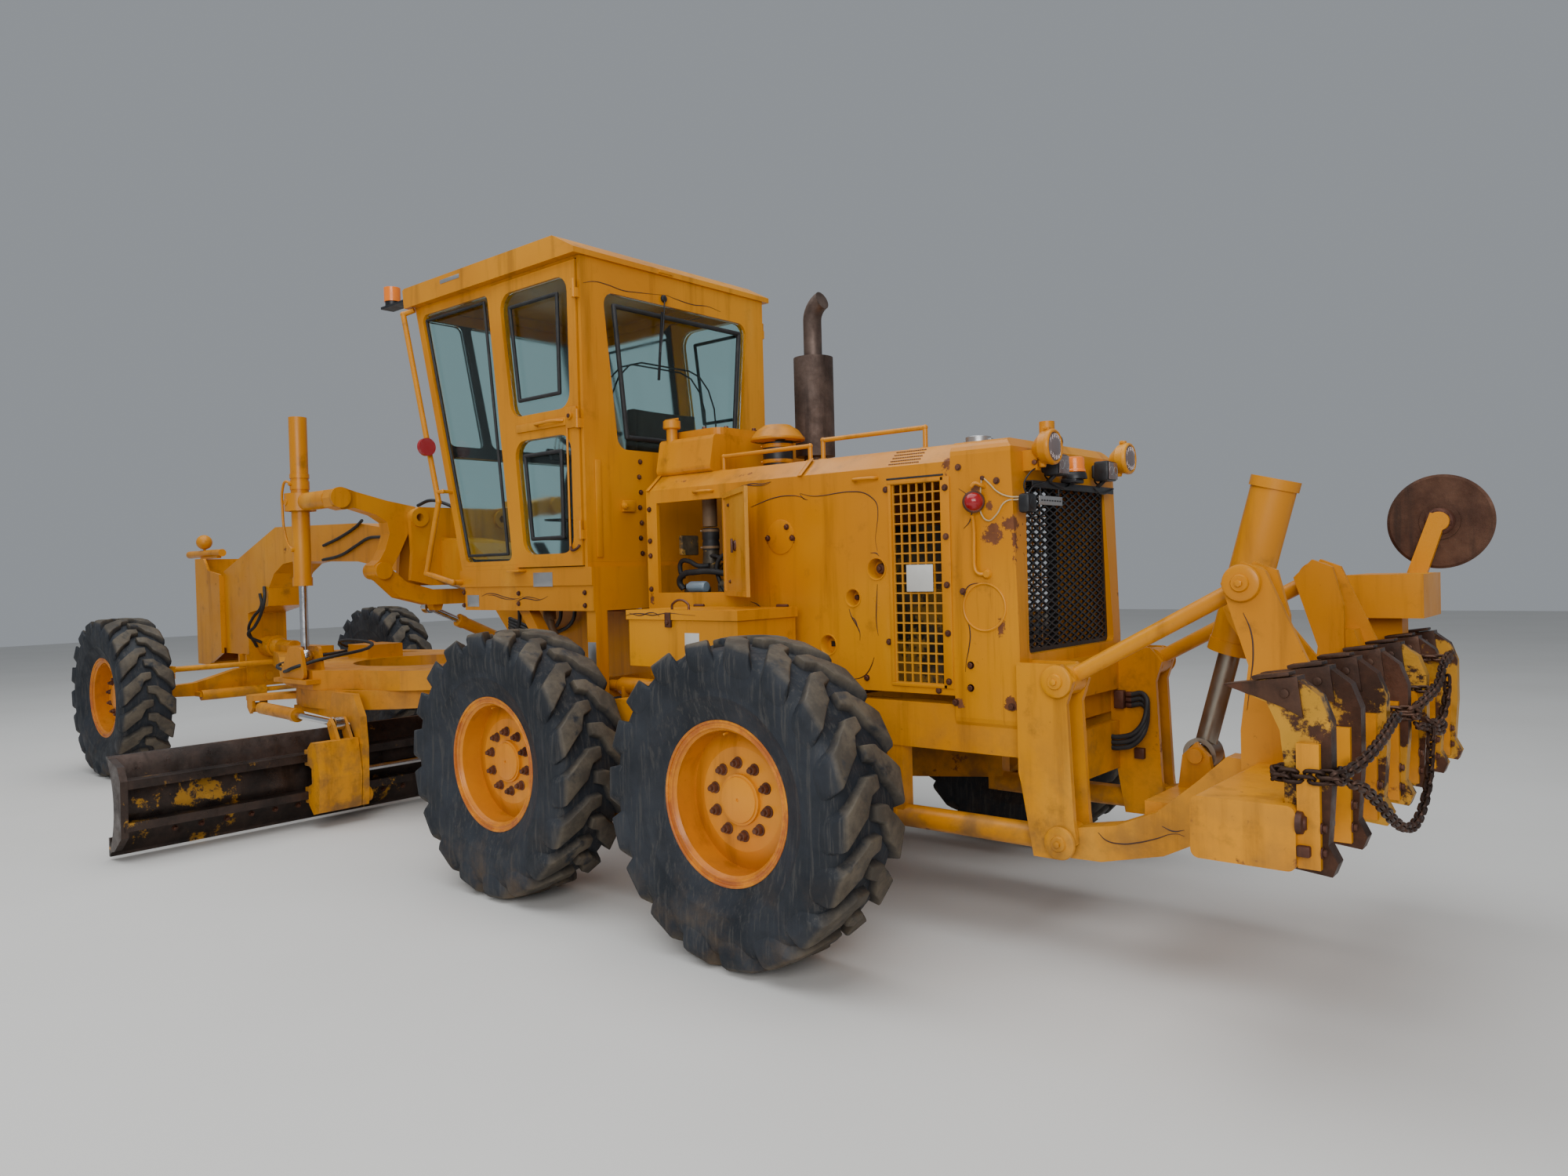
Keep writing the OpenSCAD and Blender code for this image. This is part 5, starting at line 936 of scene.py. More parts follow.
DOOR_UPPER = [(850, 2520), (door_edge(2440) - 75, 2520), (door_edge(3310) - 80, 3240), (850, 3240)]
DOOR_LOWER = [(850, 1728), (door_edge(1658) - 70, 1728), (door_edge(2440) - 90, 2380), (850, 2380)]
for side, hand in ((1, "left"), (-1, "right")):
    seals, door_metal, dark = [], [], []
    for outline in (DOOR_UPPER, DOOR_LOWER):
        loop = rounded_loop(outline, 90.0, 7)
        seals.append(rubber_loop([at(x / 1000, side * 0.7475, z / 1000) for x, z in loop], 0.011))
    dress("door_seals_" + hand, seals, "black_rubber", "cab_door_" + hand, 60.0)
    # lock plate, grab bar and its rod down the lower pane
    y0, y1 = sorted((side * 0.749, side * 0.762))
    door_metal.append(block(at(0.790, y0, 2.405), at(0.880, y1, 2.520), 0.004))
    door_metal.append(block(at(0.880, y0, 2.425), at(1.330, y1, 2.470), 0.004))
    door_metal.append(hose(spots(side, (900, 760, 2452), (930, 792, 2452), (1050, 800, 2450),
        (1110, 790, 2450), (1130, 760, 2450)), 0.009))
    door_metal.append(drum(at(0.872, side * 0.757, 1.745),
        at(0.872, side * 0.757, 2.410), 0.006, sides=12, edge=0))
    door_metal.append(drum(at(0.835, side * 0.750, 2.470), at(0.835, side * 0.775, 2.470), 0.020, sides=24))
    dress("door_furniture_" + hand, door_metal, "cab_paint", "cab_door_" + hand)
    dark.append(drum(at(0.835, side * 0.774, 2.470),
        at(0.835, side * 0.779, 2.470), 0.012, sides=20, edge=0.001))
    dark.append(hose(spots(side, (868, 757, 1760), (840, 772, 1742),
        (800, 768, 1752), (790, 758, 1770)), 0.007))
    dress("door_latch_" + hand, dark, "rusty_bolt", "cab_door_" + hand)

frame_seals = []
window = rounded_loop([(-500, 2300), (500, 2300), (585, 3160), (-585, 3160)], 70.0, 6)
frame_seals.append(rubber_loop([at(0.7485, y / 1000, z / 1000) for y, z in window], 0.014))
for side in (1, -1):
    pane = rounded_loop([(door_edge(1700) + 55, 1700), (windscreen_edge(1700) - 60, 1700),
        (windscreen_edge(3270) - 60, 3270), (door_edge(3270) + 55, 3270)], 40.0, 5)
    frame_seals.append(rubber_loop([at(x / 1000, side * 0.738, z / 1000) for x, z in pane], 0.009))
    edge = rounded_loop([(780, 1658), (door_edge(1658), 1658),
        (door_edge(3310), 3310), (780, 3310)], 12.0, 2)
    frame_seals.append(rubber_loop([at(x / 1000, side * 0.7405, z / 1000) for x, z in edge], 0.006, 2))
dress("cab_seals", frame_seals, "black_rubber", "front_half", 60.0)

# Ripper

def pin_cap(node, x, z, side, radius):
    """The domed washer and bolt on the end of a pivot pin."""
    way = Vector((0.0, side, 0.0))
    place, _ = surface(node, at(x, side * 1.4, z), -way)
    disc = turned([(0.0, 0.020), (0.42 * radius, 0.020), (0.46 * radius, 0.016), (0.48 * radius, 0.010),
        (0.80 * radius, 0.010), (0.95 * radius, 0.006), (radius, -0.002), (0.98 * radius, -0.006),
        (0.0, -0.006)], place, tuple(way), 40)
    head = drum(place + way * 0.018, place + way * 0.031, 0.013, sides=6, edge=0.001)
    return joined([disc, head])


caps = {"rear_half": [], "ripper_carriage": []}
for side in (1, -1):
    caps["rear_half"] += [pin_cap("ripper_bracket", -1.870, 0.499, side, 0.066),
        pin_cap("ripper_bracket", -1.870, 1.138, side, 0.066)]
    caps["ripper_carriage"] += [pin_cap("ripper_carriage", -2.600, 0.800, side, 0.066),
        pin_cap("ripper_carriage", -2.573, 1.518, side, 0.066)]
for body, made in caps.items():
    dress("pin_caps_" + body, made, "paint", body, 30.0)

SHANKS = 7
SHANK_Y = [-1.095 + 0.365 * i for i in range(SHANKS)]


def ripper_tip(y):
    """A forged point on a shank's end: a wedge that narrows to its chisel edge, with its pin."""
    obj = cut_cube(1.0, 3)
    for vertex in obj.data.vertices:
        along, across, up = vertex.co.x + 0.5, vertex.co.y * 2, vertex.co.z + 0.5
        forward = -2.902 + 0.210 * along
        top = 1.260 - 0.032 * along
        foot = 1.138 + 0.082 * along ** 0.8 + 0.004 * abs(across)
        half = 0.042 * (1.0 - 0.35 * along)
        vertex.co = at(forward - 0.014 * (1.0 - up) * (1.0 - along), y + across * half,
            foot + (top - foot) * up)
    harden(obj, 0.006, 2, 50.0)
    pin = drum(at(-2.868, y - 0.047, 1.210), at(-2.868, y + 0.047, 1.210), 0.013, sides=20, edge=0.002)
    plate = block(at(-2.880, y - 0.036, 1.252), at(-2.775, y + 0.036, 1.264), 0.003,
        (0.0, math.radians(8.5), 0.0))
    return joined([obj, pin, plate])


dress("shank_tips", [ripper_tip(y) for y in SHANK_Y], "tool_steel", "ripper_carriage", 40.0)


def chain_link_form(wire=0.0062, half=0.0125, width=0.0125):
    """One oval link of round wire, flat in x and y."""
    points = []
    for end in (1, -1):
        for k in range(6):
            angle = -end * math.pi / 2 + math.pi * k / 5
            points.append(Vector((end * half + width * math.cos(angle), width * math.sin(angle), 0.0)))
    return rubber_loop(points, wire, 1)


def even_steps(places, pitch):
    """Places one pitch apart along a smooth line through the given ones."""
    path = []
    for i in range(len(places) - 1):
        before = places[max(i - 1, 0)]
        a, b = places[i], places[i + 1]
        after = places[min(i + 2, len(places) - 1)]
        for k in range(24):
            t = k / 24
            path.append(0.5 * ((2 * a) + (b - before) * t + (2 * before - 5 * a + 4 * b - after) * t * t
                + (3 * a - before - 3 * b + after) * t ** 3))
    path.append(places[-1])
    steps, last = [path[0]], path[0]
    for place in path[1:]:
        while (place - last).length >= pitch:
            last = last + (place - last).normalized() * pitch
            steps.append(last)
    return steps


def chain_along(form, places, pitch=0.0335):
    """Links threaded through each other along a line."""
    steps = even_steps([Vector(p) for p in places], pitch)
    made = []
    for i in range(len(steps) - 1):
        middle = (steps[i] + steps[i + 1]) / 2
        turn = (steps[i + 1] - steps[i]).to_track_quat("X", "Z").to_matrix().to_4x4()
        roll = Matrix.Rotation(math.radians(45 + 90 * (i % 2)), 4, "X")
        made.append(twin_of(form, Matrix.Translation(middle) @ turn @ roll))
    return made


def round_shank(y, z, rise=0.0, turns=1, radius=0.016):
    """Places round one shank, from its back right corner over its left side and back again."""
    back, front = -2.987 - radius - 0.004, -2.860 + radius + 0.004
    out, inn = y + 0.031 + radius, y - 0.031 - radius
    ring = [(back, inn), (back, y), (back, out), (-2.925, out + 0.004), (front, out), (front, y),
        (front, inn), (-2.925, inn - 0.004)]
    count = len(ring) * turns
    return [at(ring[k % len(ring)][0], ring[k % len(ring)][1], z + rise * k / count)
        for k in range(count + 1)]


link = chain_link_form()
links = []
for places in (
    round_shank(SHANK_Y[6], 0.992, -0.035, 2),
    # up from the outer shank to the one before next, and round it
    spots(1, (-3012, 1080, 985), (-3020, 960, 990), (-3026, 820, 1005), (-3022, 600, 1030),
        (-3016, 450, 1052), (-3010, 335, 1060), (-2985, 300, 1050)),
    # the loop that hangs down behind the shanks
    spots(1, (-3016, 1060, 950), (-3028, 960, 925), (-3040, 800, 850), (-3046, 640, 770), (-3050, 460, 705),
        (-3050, 280, 688), (-3048, 110, 730), (-3044, -10, 810), (-3036, -100, 905), (-3026, -170, 990)),
    round_shank(SHANK_Y[3], 1.050, -0.050, 2),
    spots(1, (-3012, 0, 1050), (-3020, -120, 1066), (-3026, -260, 1085), (-3024, -380, 1110),
        (-3018, -470, 1140), (-3014, -560, 1165), (-3012, -700, 1185)),
    spots(1, (-3020, -140, 985), (-3034, -240, 960), (-3040, -340, 985),
        (-3040, -440, 1060), (-3030, -500, 1140)),
    spots(1, (-3012, 20, 985), (-3022, -110, 960), (-3032, -230, 930),
        (-3036, -330, 925), (-3030, -420, 950)),
    round_shank(SHANK_Y[1], 1.180, -0.030, 1),
    round_shank(SHANK_Y[2], 1.085, -0.020, 1),
):
    links += chain_along(link, places)
bpy.data.objects.remove(link, do_unlink=True)
dress("wound_chain", links, "chain_steel", "ripper_carriage", 60.0, ("ripper_chain",))

# Engine bay behind the open door

def band(place, along, radius, width=0.014):
    """A worm-drive band round a hose."""
    along = Vector(along).normalized()
    place = Vector(place)
    strap = drum(place - along * width / 2, place + along * width / 2,
        radius + 0.0025, sides=28, edge=0.001)
    aside = along.orthogonal().normalized()
    screw = drum(place + aside * (radius + 0.006) - along.cross(aside) * 0.014,
        place + aside * (radius + 0.006) + along.cross(aside) * 0.014, 0.006, sides=8, edge=0.001)
    return joined([strap, screw])


def union_pipe(points, radius):
    """A pipe with a union nut on each end."""
    made = [hose(points, radius)]
    for end, inner in ((points[0], points[1]), (points[-1], points[-2])):
        way = (inner - end).normalized()
        made.append(drum(end - way * 0.004, end + way * 0.030, radius * 1.75, sides=6, edge=0.002))
    return made


# The hood's inner faces get a near-black finish: painted shade for the engine bay's darkness behind the
# door and screens
tint("engine_hood", "bay_painted_shade", (-1.40, -0.4995, 1.04), (0.523, 0.4995, 2.1295))
bay_pipes, bay_dark, bay_cast = [], [], []
bay_pipes.append(drum(at(0.272, 0.280, 1.850), at(0.272, 0.280, 2.100), 0.040, sides=32))
bay_dark.append(turned(mm((36, 0), (45, 0), (47, 10), (47, 40), (43, 52), (47, 64), (47, 110), (43, 120),
    (36, 120)), at(0.268, 0.280, 1.722), steps=36))
bay_cast.append(drum(at(0.268, 0.280, 1.640), at(0.268, 0.280, 1.724), 0.050, 0.044, sides=28))
bay_cast.append(block(at(0.210, 0.235, 1.610), at(0.330, 0.325, 1.652), 0.006))
bay_pipes += [band(at(0.268, 0.280, z), (0, 0, 1), 0.046) for z in (1.738, 1.828)]
for points, radius in ((spots(1, (235, 330, 1640), (300, 345, 1638), (380, 350, 1668), (430, 350, 1664),
        (446, 345, 1620), (430, 335, 1570)), 0.013), (spots(1, (60, 365, 1590), (180, 375, 1608),
        (300, 378, 1606), (400, 372, 1590), (432, 365, 1550), (412, 355, 1515)), 0.017),
        (spots(1, (20, 330, 1720), (100, 345, 1700), (160, 350, 1640), (150, 345, 1560), (120, 335, 1500)),
        0.012), (spots(1, (-20, 300, 1640), (80, 330, 1655), (190, 330, 1690), (260, 300, 1690)), 0.010)):
    bay_dark.append(hose(points, radius))
for x, y, z, r, h in ((0.150, 0.300, 1.500, 0.040, 0.060), (0.410, 0.300, 1.495, 0.038, 0.050),
        (0.080, 0.290, 1.500, 0.048, 0.045), (0.340, 0.290, 1.470, 0.052, 0.070)):
    bay_cast.append(turned([(0.0, h), (0.55 * r, h), (0.62 * r, h - 0.008), (0.9 * r, h - 0.012),
        (r, h - 0.020), (r, 0.0), (0.0, 0.0)], at(x, y, z), steps=28))
    bay_cast += copies(bolt_form(0.008, 0.007), [at(x + 0.72 * r * math.cos(a), y + 0.72 * r * math.sin(a),
        z + h - 0.011) for a in (0.4, 1.97, 3.54, 5.11)])
filter_can = turned(mm((0, 0), (24, 2), (29, 8), (30, 16), (30, 112), (28, 120), (20, 124), (20, 136),
    (0, 138)), at(0.190, 0.400, 1.527), (1.0, 0.0, 0.0), 36)
bay_cast.append(block(at(-0.020, 0.235, 1.690), at(0.070, 0.345, 1.800), 0.010))
bay_cast.append(block(at(0.440, 0.200, 1.700), at(0.470, 0.330, 1.810), 0.008))
dress("bay_pipes", bay_pipes, "dusty_pipe", "rear_half", 40.0)
dress("bay_hoses", bay_dark, "black_rubber", "rear_half", 40.0)
dress("bay_castings", bay_cast, "engine_metal", "rear_half", 35.0)
dress("bay_filter", filter_can, "pale_blue", "rear_half", 35.0)

# Hood top: perforated strip, straps, grab rail feet, cap collars
strip_places, strip_ways, strap_paint = [], [], []
slope = math.radians(41.6)
for side in (1, -1):
    for x in (0.060, -0.520, -0.600, -1.180):
        strap_paint.append(turned(mm((0, 6), (20, 6), (26, 3), (28, -2), (0, -2)),
            at(x, side * 0.380, 2.130), steps=20))
    # joint strap across the sloping edge of the top
    for x in (-0.560, 0.506):
        strap_paint.append(block(at(x - 0.012, side * 0.470 - 0.066, 2.0905),
            at(x + 0.012, side * 0.470 + 0.066, 2.0955), 0.002, (-side * slope, 0.0, 0.0)))
    for i in range(17):
        for k in range(5):
            t = -0.044 + 0.022 * k
            strip_places.append(at(-1.060 - 0.0095 * i, side * (0.4600 - t * math.cos(slope)),
                2.0900 + t * math.sin(slope)))
            strip_ways.append((0.0, side * math.sin(slope), math.cos(slope)))
bump_form = drum((0, 0, -0.002), (0, 0, 0.0035), 0.0042, 0.0028, sides=6, edge=0)
dress("tread_strip", copies(bump_form, strip_places, strip_ways), "rusty_bolt", "rear_half", 30.0)
dress("hood_straps", strap_paint, "paint", "rear_half")
collar = [band(at(-0.090, 0.120, z), (0, 0, 1), 0.081, 0.020) for z in (2.180, 2.262)]
dress("intake_bands", collar, "paint", "rear_half")
intake_rim = turned(mm((141.5, 9), (144.5, 11), (145.5, 16), (144.5, 24), (140.5, 26), (139.5, 18)),
    at(-0.090, 0.120, 2.280), steps=64, closed=True)
dress("intake_rim", intake_rim, "paint", "rear_half", 50.0)
filler = turned(mm((0, 6), (20, 6), (24, 2), (50, 2), (53.5, -2), (0, -4)),
    at(-1.230, 0.0, 2.206), steps=40)
ears = block(at(-1.230 - 0.075, -0.012, 2.176), at(-1.230 + 0.075, 0.012, 2.196), 0.005)
dress("filler_cap_ears", [filler, ears], "silver", "rear_half")
tank_bolts = [at(0.315 + 0.130 * math.cos(math.radians(a)), 0.260 * math.sin(math.radians(a)),
    2.383) for a in range(0, 360, 45)]
dress("tank_bolts", copies(bolt_form(0.013, 0.012), tank_bolts), "rusty_bolt", "rear_half", 30.0)
tank_cap = [turned(mm((0, 8), (30, 8), (36, 4), (47, 2), (48, -36), (45, -40), (0, -40)),
    at(0.450, 0.375, 2.430), steps=40)]
tank_cap += [block(at(0.450 - 0.052, 0.375 - 0.006, 2.434), at(0.450 + 0.052, 0.375 + 0.006, 2.446), 0.004)]
dress("tank_cap", tank_cap, "paint", "rear_half")

# Rear of the radiator shell: lamps, rail, wires, marker lamp
lamp_glass, lamp_rings, rear_black, rear_bolts, mirrors, wires, rear_paint = [], [], [], [], [], [], []
for side in (1, -1):
    centre = at(-1.800, side * 0.385, 2.080)
    back = (-1.0, 0.0, 0.0)
    lamp_glass.append(turned(mm((0, 13.5), (18, 13), (36, 10.8), (50, 7), (58, 2),
        (58, -2), (0, -2)), centre, back, 48))
    lamp_rings.append(turned(mm((57.5, 0), (59, 5.5), (63, 8), (68, 7), (72.5, 1.5), (73.5, -10), (70, -14),
        (67, -2)), centre, back, 56, closed=True))
    for i in range(7):
        y = -0.042 + 0.014 * i
        reach = math.sqrt(0.054 ** 2 - y ** 2)
        lamp_glass.append(drum(centre + Vector((-0.0095 + 1.6 * y * y, y, -reach)),
            centre + Vector((-0.0095 + 1.6 * y * y, y, reach)), 0.0022, sides=6, edge=0))
    rear_paint.append(block(at(-1.785, side * 0.385 - 0.014, 2.146),
        at(-1.757, side * 0.385 + 0.014, 2.164), 0.004))
    rear_paint.append(drum(at(-1.771, side * 0.385 - 0.018, 2.158), at(-1.771, side * 0.385 + 0.018, 2.158),
        0.007, sides=12, edge=0.001))
    rear_paint.append(drum(at(-1.748, side * 0.385, 2.030),
        at(-1.748, side * 0.385, 2.000), 0.018, 0.014, sides=20))
    rear_bolts.append(drum(at(-1.722, side * 0.400, 2.022),
        at(-1.722, side * 0.412, 2.022), 0.011, sides=6, edge=0.001))
# bracket rail over the grille's top edge and what stands on it
rear_black.append(block(at(-1.712, -0.405, 1.944), at(-1.672, 0.405, 1.950), 0.002))
rear_black.append(block(at(-1.712, -0.405, 1.920), at(-1.706, 0.405, 1.948), 0.002))
for y in (0.250, -0.250):
    rear_black.append(block(at(-1.776, y - 0.052, 1.972), at(-1.706, y + 0.052, 2.062), 0.010))
    rear_black.append(block(at(-1.706, y - 0.036, 1.986), at(-1.688, y + 0.036, 2.048), 0.008))
    rear_black.append(drum(at(-1.735, y, 1.976), at(-1.700, y, 1.946), 0.010, sides=12))
    rear_black.append(hose([at(-1.690, y, 2.000), at(-1.682, y - 0.020, 1.975),
        at(-1.694, y - 0.055, 1.955)], 0.004, 2))
    for k in (-1, 1):
        mirrors.append(turned(mm((0, 2), (12, 3), (20, 5.5), (20.5, 0), (0, 0)),
            at(-1.7765, y + 0.023 * k, 2.017), (-1.0, 0.0, 0.0), 28))
    lamp_glass.append(block(at(-1.781, y - 0.045, 1.979), at(-1.776, y + 0.045, 2.055), 0.002))
rear_black.append(turned(mm((0, 30), (44, 30), (50, 24), (54, 6), (54, 0), (0, 0)),
    at(-1.735, 0.060, 1.968), steps=36))
rear_black.append(block(at(-1.760, 0.005, 1.950), at(-1.690, 0.115, 1.969), 0.006, (0.0, 0.0, 0.12)))
beacon = turned(mm((0, 66), (32, 66), (40, 62), (42, 56), (44, 12), (48, 8), (48, 0), (0, 0)),
    at(-1.735, 0.060, 1.998), steps=40)
# slotted blank plate under the rail
slots = [block(at(-1.716, 0.155 + 0.024 * i, 1.866), at(-1.712, 0.169 + 0.024 * i, 1.872),
    0.001) for i in range(8)]
plate = block(at(-1.7145, 0.140, 1.850), at(-1.7115, 0.355, 1.888), 0.001)
stays = [drum(at(-1.709, y, 1.884), at(-1.709, y, 1.922), 0.004, sides=8,
    edge=0.001) for y in (0.165, 0.335)]
rear_black += slots + stays
# junction box at the grille's corner with its wires
rear_black.append(block(at(-1.742, 0.425, 1.812), at(-1.690, 0.500, 1.892), 0.014))
rear_black.append(drum(at(-1.744, 0.462, 1.852), at(-1.740, 0.462, 1.852), 0.026, sides=28, edge=0.001))
for points, thick in ((spots(1, (-1722, 385, 2002), (-1716, 440, 1975), (-1706, 470, 1930),
        (-1712, 468, 1892)), 0.0035), (spots(1, (-1712, 300, 1946), (-1716, 360, 1936), (-1722, 420, 1924),
        (-1716, 455, 1892)), 0.003), (spots(1, (-1712, -180, 1945), (-1720, -240, 1918),
        (-1720, -330, 1926), (-1714, -400, 1946)), 0.003),
        (spots(1, (-1712, 60, 1948), (-1722, 110, 1930), (-1722, 200, 1934), (-1714, 260, 1948)), 0.003)):
    rear_black.append(hose(points, thick, 2))
for points in (spots(1, (-1532, 507.5, 1966), (-1526, 512, 1868), (-1532, 514, 1815), (-1564, 514, 1787),
        (-1597, 514, 1806), (-1645, 512, 1862), (-1692, 490, 1868)), spots(1, (-1540, 507.5, 1966),
        (-1572, 511, 1938), (-1606, 512, 1905), (-1655, 510, 1882), (-1694, 488, 1878))):
    wires.append(hose(points, 0.0032, 2))
rear_bolts.append(drum(at(-1.536, 0.503, 1.966), at(-1.536, 0.514, 1.966), 0.010, sides=6, edge=0.001))
# marker lamp on its bent pipe down the shell's side
side_pipe = spots(1, (-1545, 500, 1926), (-1536, 524, 1936), (-1516, 536, 1944), (-1500, 540, 1930))
rear_paint.append(hose(side_pipe, 0.008))
rear_paint.append(hose(spots(1, (-1500, 536, 1812), (-1500, 526, 1780), (-1498, 523, 1640),
    (-1500, 523, 1592), (-1512, 520, 1570), (-1540, 508, 1566)), 0.0085))
rear_paint.append(turned(mm((0, 16), (14, 14), (20, 6), (21, -2), (0, -2)),
    at(-1.548, 0.505, 1.566), (0.0, 1.0, 0.0), 24))
marker_way = Vector((-0.55, 0.835, 0.0)).normalized()
marker = at(-1.506, 0.532, 1.868)
rear_bolts.append(turned(mm((0, 12), (40, 12), (46, 8), (47, 0), (20, -12), (0, -12)),
    marker, tuple(marker_way), 40))
red_lens = turned(mm((0, 38), (14, 36), (27, 29), (36, 18), (38.5, 10), (0, 10)),
    marker, tuple(marker_way), 40)
for x, z in ((-1.460, 1.183), (-1.458, 1.087), (-1.382, 1.022), (-1.648, 1.019)):
    rear_bolts += copies(bolt_form(0.012, 0.010), [at(x, side * HOOD_SIDE, z) for side in (1, -1)],
        [(0.0, float(side), 0.0) for side in (1, -1)])
# round pressing on the shell's side
for side in (1, -1):
    rear_paint.append(turned(mm((93, -3), (94, 3.5), (98, 5.5), (103, 3.5), (104, -3)),
        at(-1.530, side * HOOD_SIDE, 1.428), (0.0, float(side), 0.0), 64, closed=True))
# lifting eye on the shell's top
rear_bolts.append(hose(spots(1, (-1640, -10, 2124), (-1640, -22, 2146), (-1640, 0, 2166), (-1640, 22, 2146),
    (-1640, 10, 2124)), 0.006))
dress("lamp_glass", lamp_glass, "lamp_lens", "rear_half", 30.0)
dress("lamp_rings", lamp_rings, "paint", "rear_half", 45.0)
dress("rear_black_parts", rear_black, "black_steel", "rear_half", 40.0)
dress("lamp_mirrors", mirrors, "silver", "rear_half")
dress("low_beacon", beacon, "amber", "rear_half")
dress("blank_plate", plate, "silver", "rear_half")
dress("pale_wires", wires, "pale_wire", "rear_half")
dress("rear_fixings", rear_bolts, "rusty_bolt", "rear_half", 32.0)
dress("shell_pipes", rear_paint, "paint", "rear_half", 45.0)
dress("marker_lens", red_lens, "red_lens", "rear_half", 45.0)

latch_place, latch_way = surface("engine_door", at(-0.283, 1.300, 1.728), (0.0, -1.0, 0.0))
latch = [turned(mm((0, 10), (20, 9), (26, 4), (28, -2), (0, -2)), latch_place, tuple(latch_way), 28),
    block(latch_place + latch_way * 0.016 - Vector((0.006, 0.006, 0.034)),
    latch_place + latch_way * 0.016 + Vector((0.006, 0.006, 0.034)), 0.003, (0.0, 0.0, 0.6))]
for z in (1.555, 1.930):
    place, way = surface("engine_door", at(-0.180, 1.300, z), (0.0, -1.0, 0.0))
    latch += copies(bolt_form(0.007, 0.006), [place], [tuple(way)])
dress("engine_door_latch", latch, "rusty_bolt", "engine_door", 32.0)

# Operator's seat, controls and steering wheel

def upholstered(place_of, seams, groove=0.007, cuts=27):
    """A padded block: crowned faces, sides that pull in between the corners, sewn channels across it.

    place_of turns (-1..1) places across, along and through the pad into the frame; the third is outwards.
    """
    obj = cut_cube(2.0, cuts)
    for vertex in obj.data.vertices:
        u, v, w = vertex.co
        pull = 1.0 - 0.035 * (1.0 - min(u * u, v * v)) * (1.0 - w * w)
        round_off = 1.0 - 0.030 * (max(0.0, abs(w) - 0.55) / 0.45) ** 2
        crown = 0.80 + 0.20 * (1.0 - u ** 4) * (1.0 - v ** 4) if w > 0 else 1.0
        sewn = sum(math.exp(-((v - seam) / 0.045) ** 2) for seam in seams)
        vertex.co = place_of(u * pull * round_off, v * pull * round_off, w * crown,
            sewn * groove if w > 0.2 else 0.0)
    harden(obj, 0.012, 2, 50.0)
    modifier = obj.modifiers.new("soft", "SUBSURF")
    modifier.levels = modifier.render_levels = 1
    only(obj)
    bpy.ops.object.modifier_apply(modifier="soft")
    return obj


def seat_place(u, v, w, sewn):
    """Across, along and up through the seat cushion."""
    return at(1.268 + 0.212 * v, 0.252 * u, 1.880 + 0.068 * w - sewn + 0.006 * v)


def back_place(u, v, w, sewn):
    """Across, up and forward through the backrest."""
    middle = 2.228 + 0.340 * v
    return at(0.958 - 0.022 * v + (0.058 - 0.008 * v) * w - sewn, 0.243 * u, middle)


cushion = dress("seat_cushion", upholstered(seat_place, (-0.5, 0.0, 0.5)), "seat_cloth",
    "front_half", 60.0, ("cab_interior",))
backrest = dress("seat_backrest", upholstered(back_place, (-0.6, -0.2, 0.2, 0.6)), "seat_cloth",
    "front_half", 60.0, ("cab_interior",))
welts = []
for level in (-0.9, 0.9):
    ring = rounded_loop([(-0.955, -0.955), (0.955, -0.955), (0.955, 0.955), (-0.955, 0.955)], 0.16, 4)
    welts.append(rubber_loop([seat_place(u, v, level * 0.96, -0.001) for u, v in ring], 0.005, 2))
    welts.append(rubber_loop([back_place(u, v, level * 0.96, -0.001) for u, v in ring], 0.005, 2))
dress("seat_welts", welts, "black_rubber", "front_half", 60.0, ("cab_interior",))
seat_frame = [block(at(1.000, -0.200, 1.678), at(1.400, 0.200, 1.705), 0.006),
    block(at(0.955, -0.235, 1.790), at(1.475, 0.235, 1.808), 0.008),
    block(at(0.905, -0.205, 1.800), at(0.960, 0.205, 1.890), 0.008)]
for k in range(5):
    grow = 0.012 * (k % 2)
    seat_frame.append(block(at(1.040 - grow, -0.150 - grow, 1.702 + 0.018 * k),
        at(1.360 + grow, 0.150 + grow, 1.722 + 0.018 * k), 0.006))
for side in (1, -1):
    seat_frame.append(hose(spots(side, (930, 262, 1900), (935, 275, 2060), (1060, 282, 2110),
        (1250, 282, 2112)), 0.014))
    seat_frame.append(block(at(1.040, side * 0.282 - 0.030, 2.108),
        at(1.290, side * 0.282 + 0.030, 2.140), 0.012))
dress("seat_frame", seat_frame, "trim", "front_half", 35.0, ("cab_interior",))

WHEEL_TILT = math.radians(35.0)
wheel_axis = Vector((-math.sin(WHEEL_TILT), 0.0, math.cos(WHEEL_TILT)))
wheel_hub = at(1.630, 0.0, 2.465)
ring_section = [(0.200 + 0.0145 * math.cos(math.radians(a)), 0.0145 * math.sin(math.radians(a)))
    for a in range(0, 360, 30)]
controls = [turned(ring_section, wheel_hub, tuple(wheel_axis), 56, closed=True),
    turned(mm((0, 6), (26, 6), (34, -2), (36, -20), (26, -58), (0, -60)), wheel_hub, tuple(wheel_axis), 32)]
aside = Vector((0.0, 1.0, 0.0))
ahead = aside.cross(wheel_axis)
for k in range(3):
    angle = 2 * math.pi * k / 3
    out = math.cos(angle) * ahead + math.sin(angle) * aside
    controls.append(hose([wheel_hub + out * 0.030 - wheel_axis * 0.006,
        wheel_hub + out * 0.110 - wheel_axis * 0.014, wheel_hub + out * 0.192], 0.008))
post = cut_cube(2.0, 5)
for vertex in post.data.vertices:
    t = (vertex.co.z + 1.0) / 2
    back_x = 1.645 - 0.022 * t
    front_x = 1.845 - 0.030 * min(1.0, t / 0.7) - 0.110 * max(0.0, (t - 0.7) / 0.3)
    vertex.co = at(back_x + (front_x - back_x) * (vertex.co.x + 1.0) / 2,
        0.085 * vertex.co.y * (1.0 - 0.15 * t), 1.680 + 0.700 * t)
harden(post, 0.012, 2, 50.0)
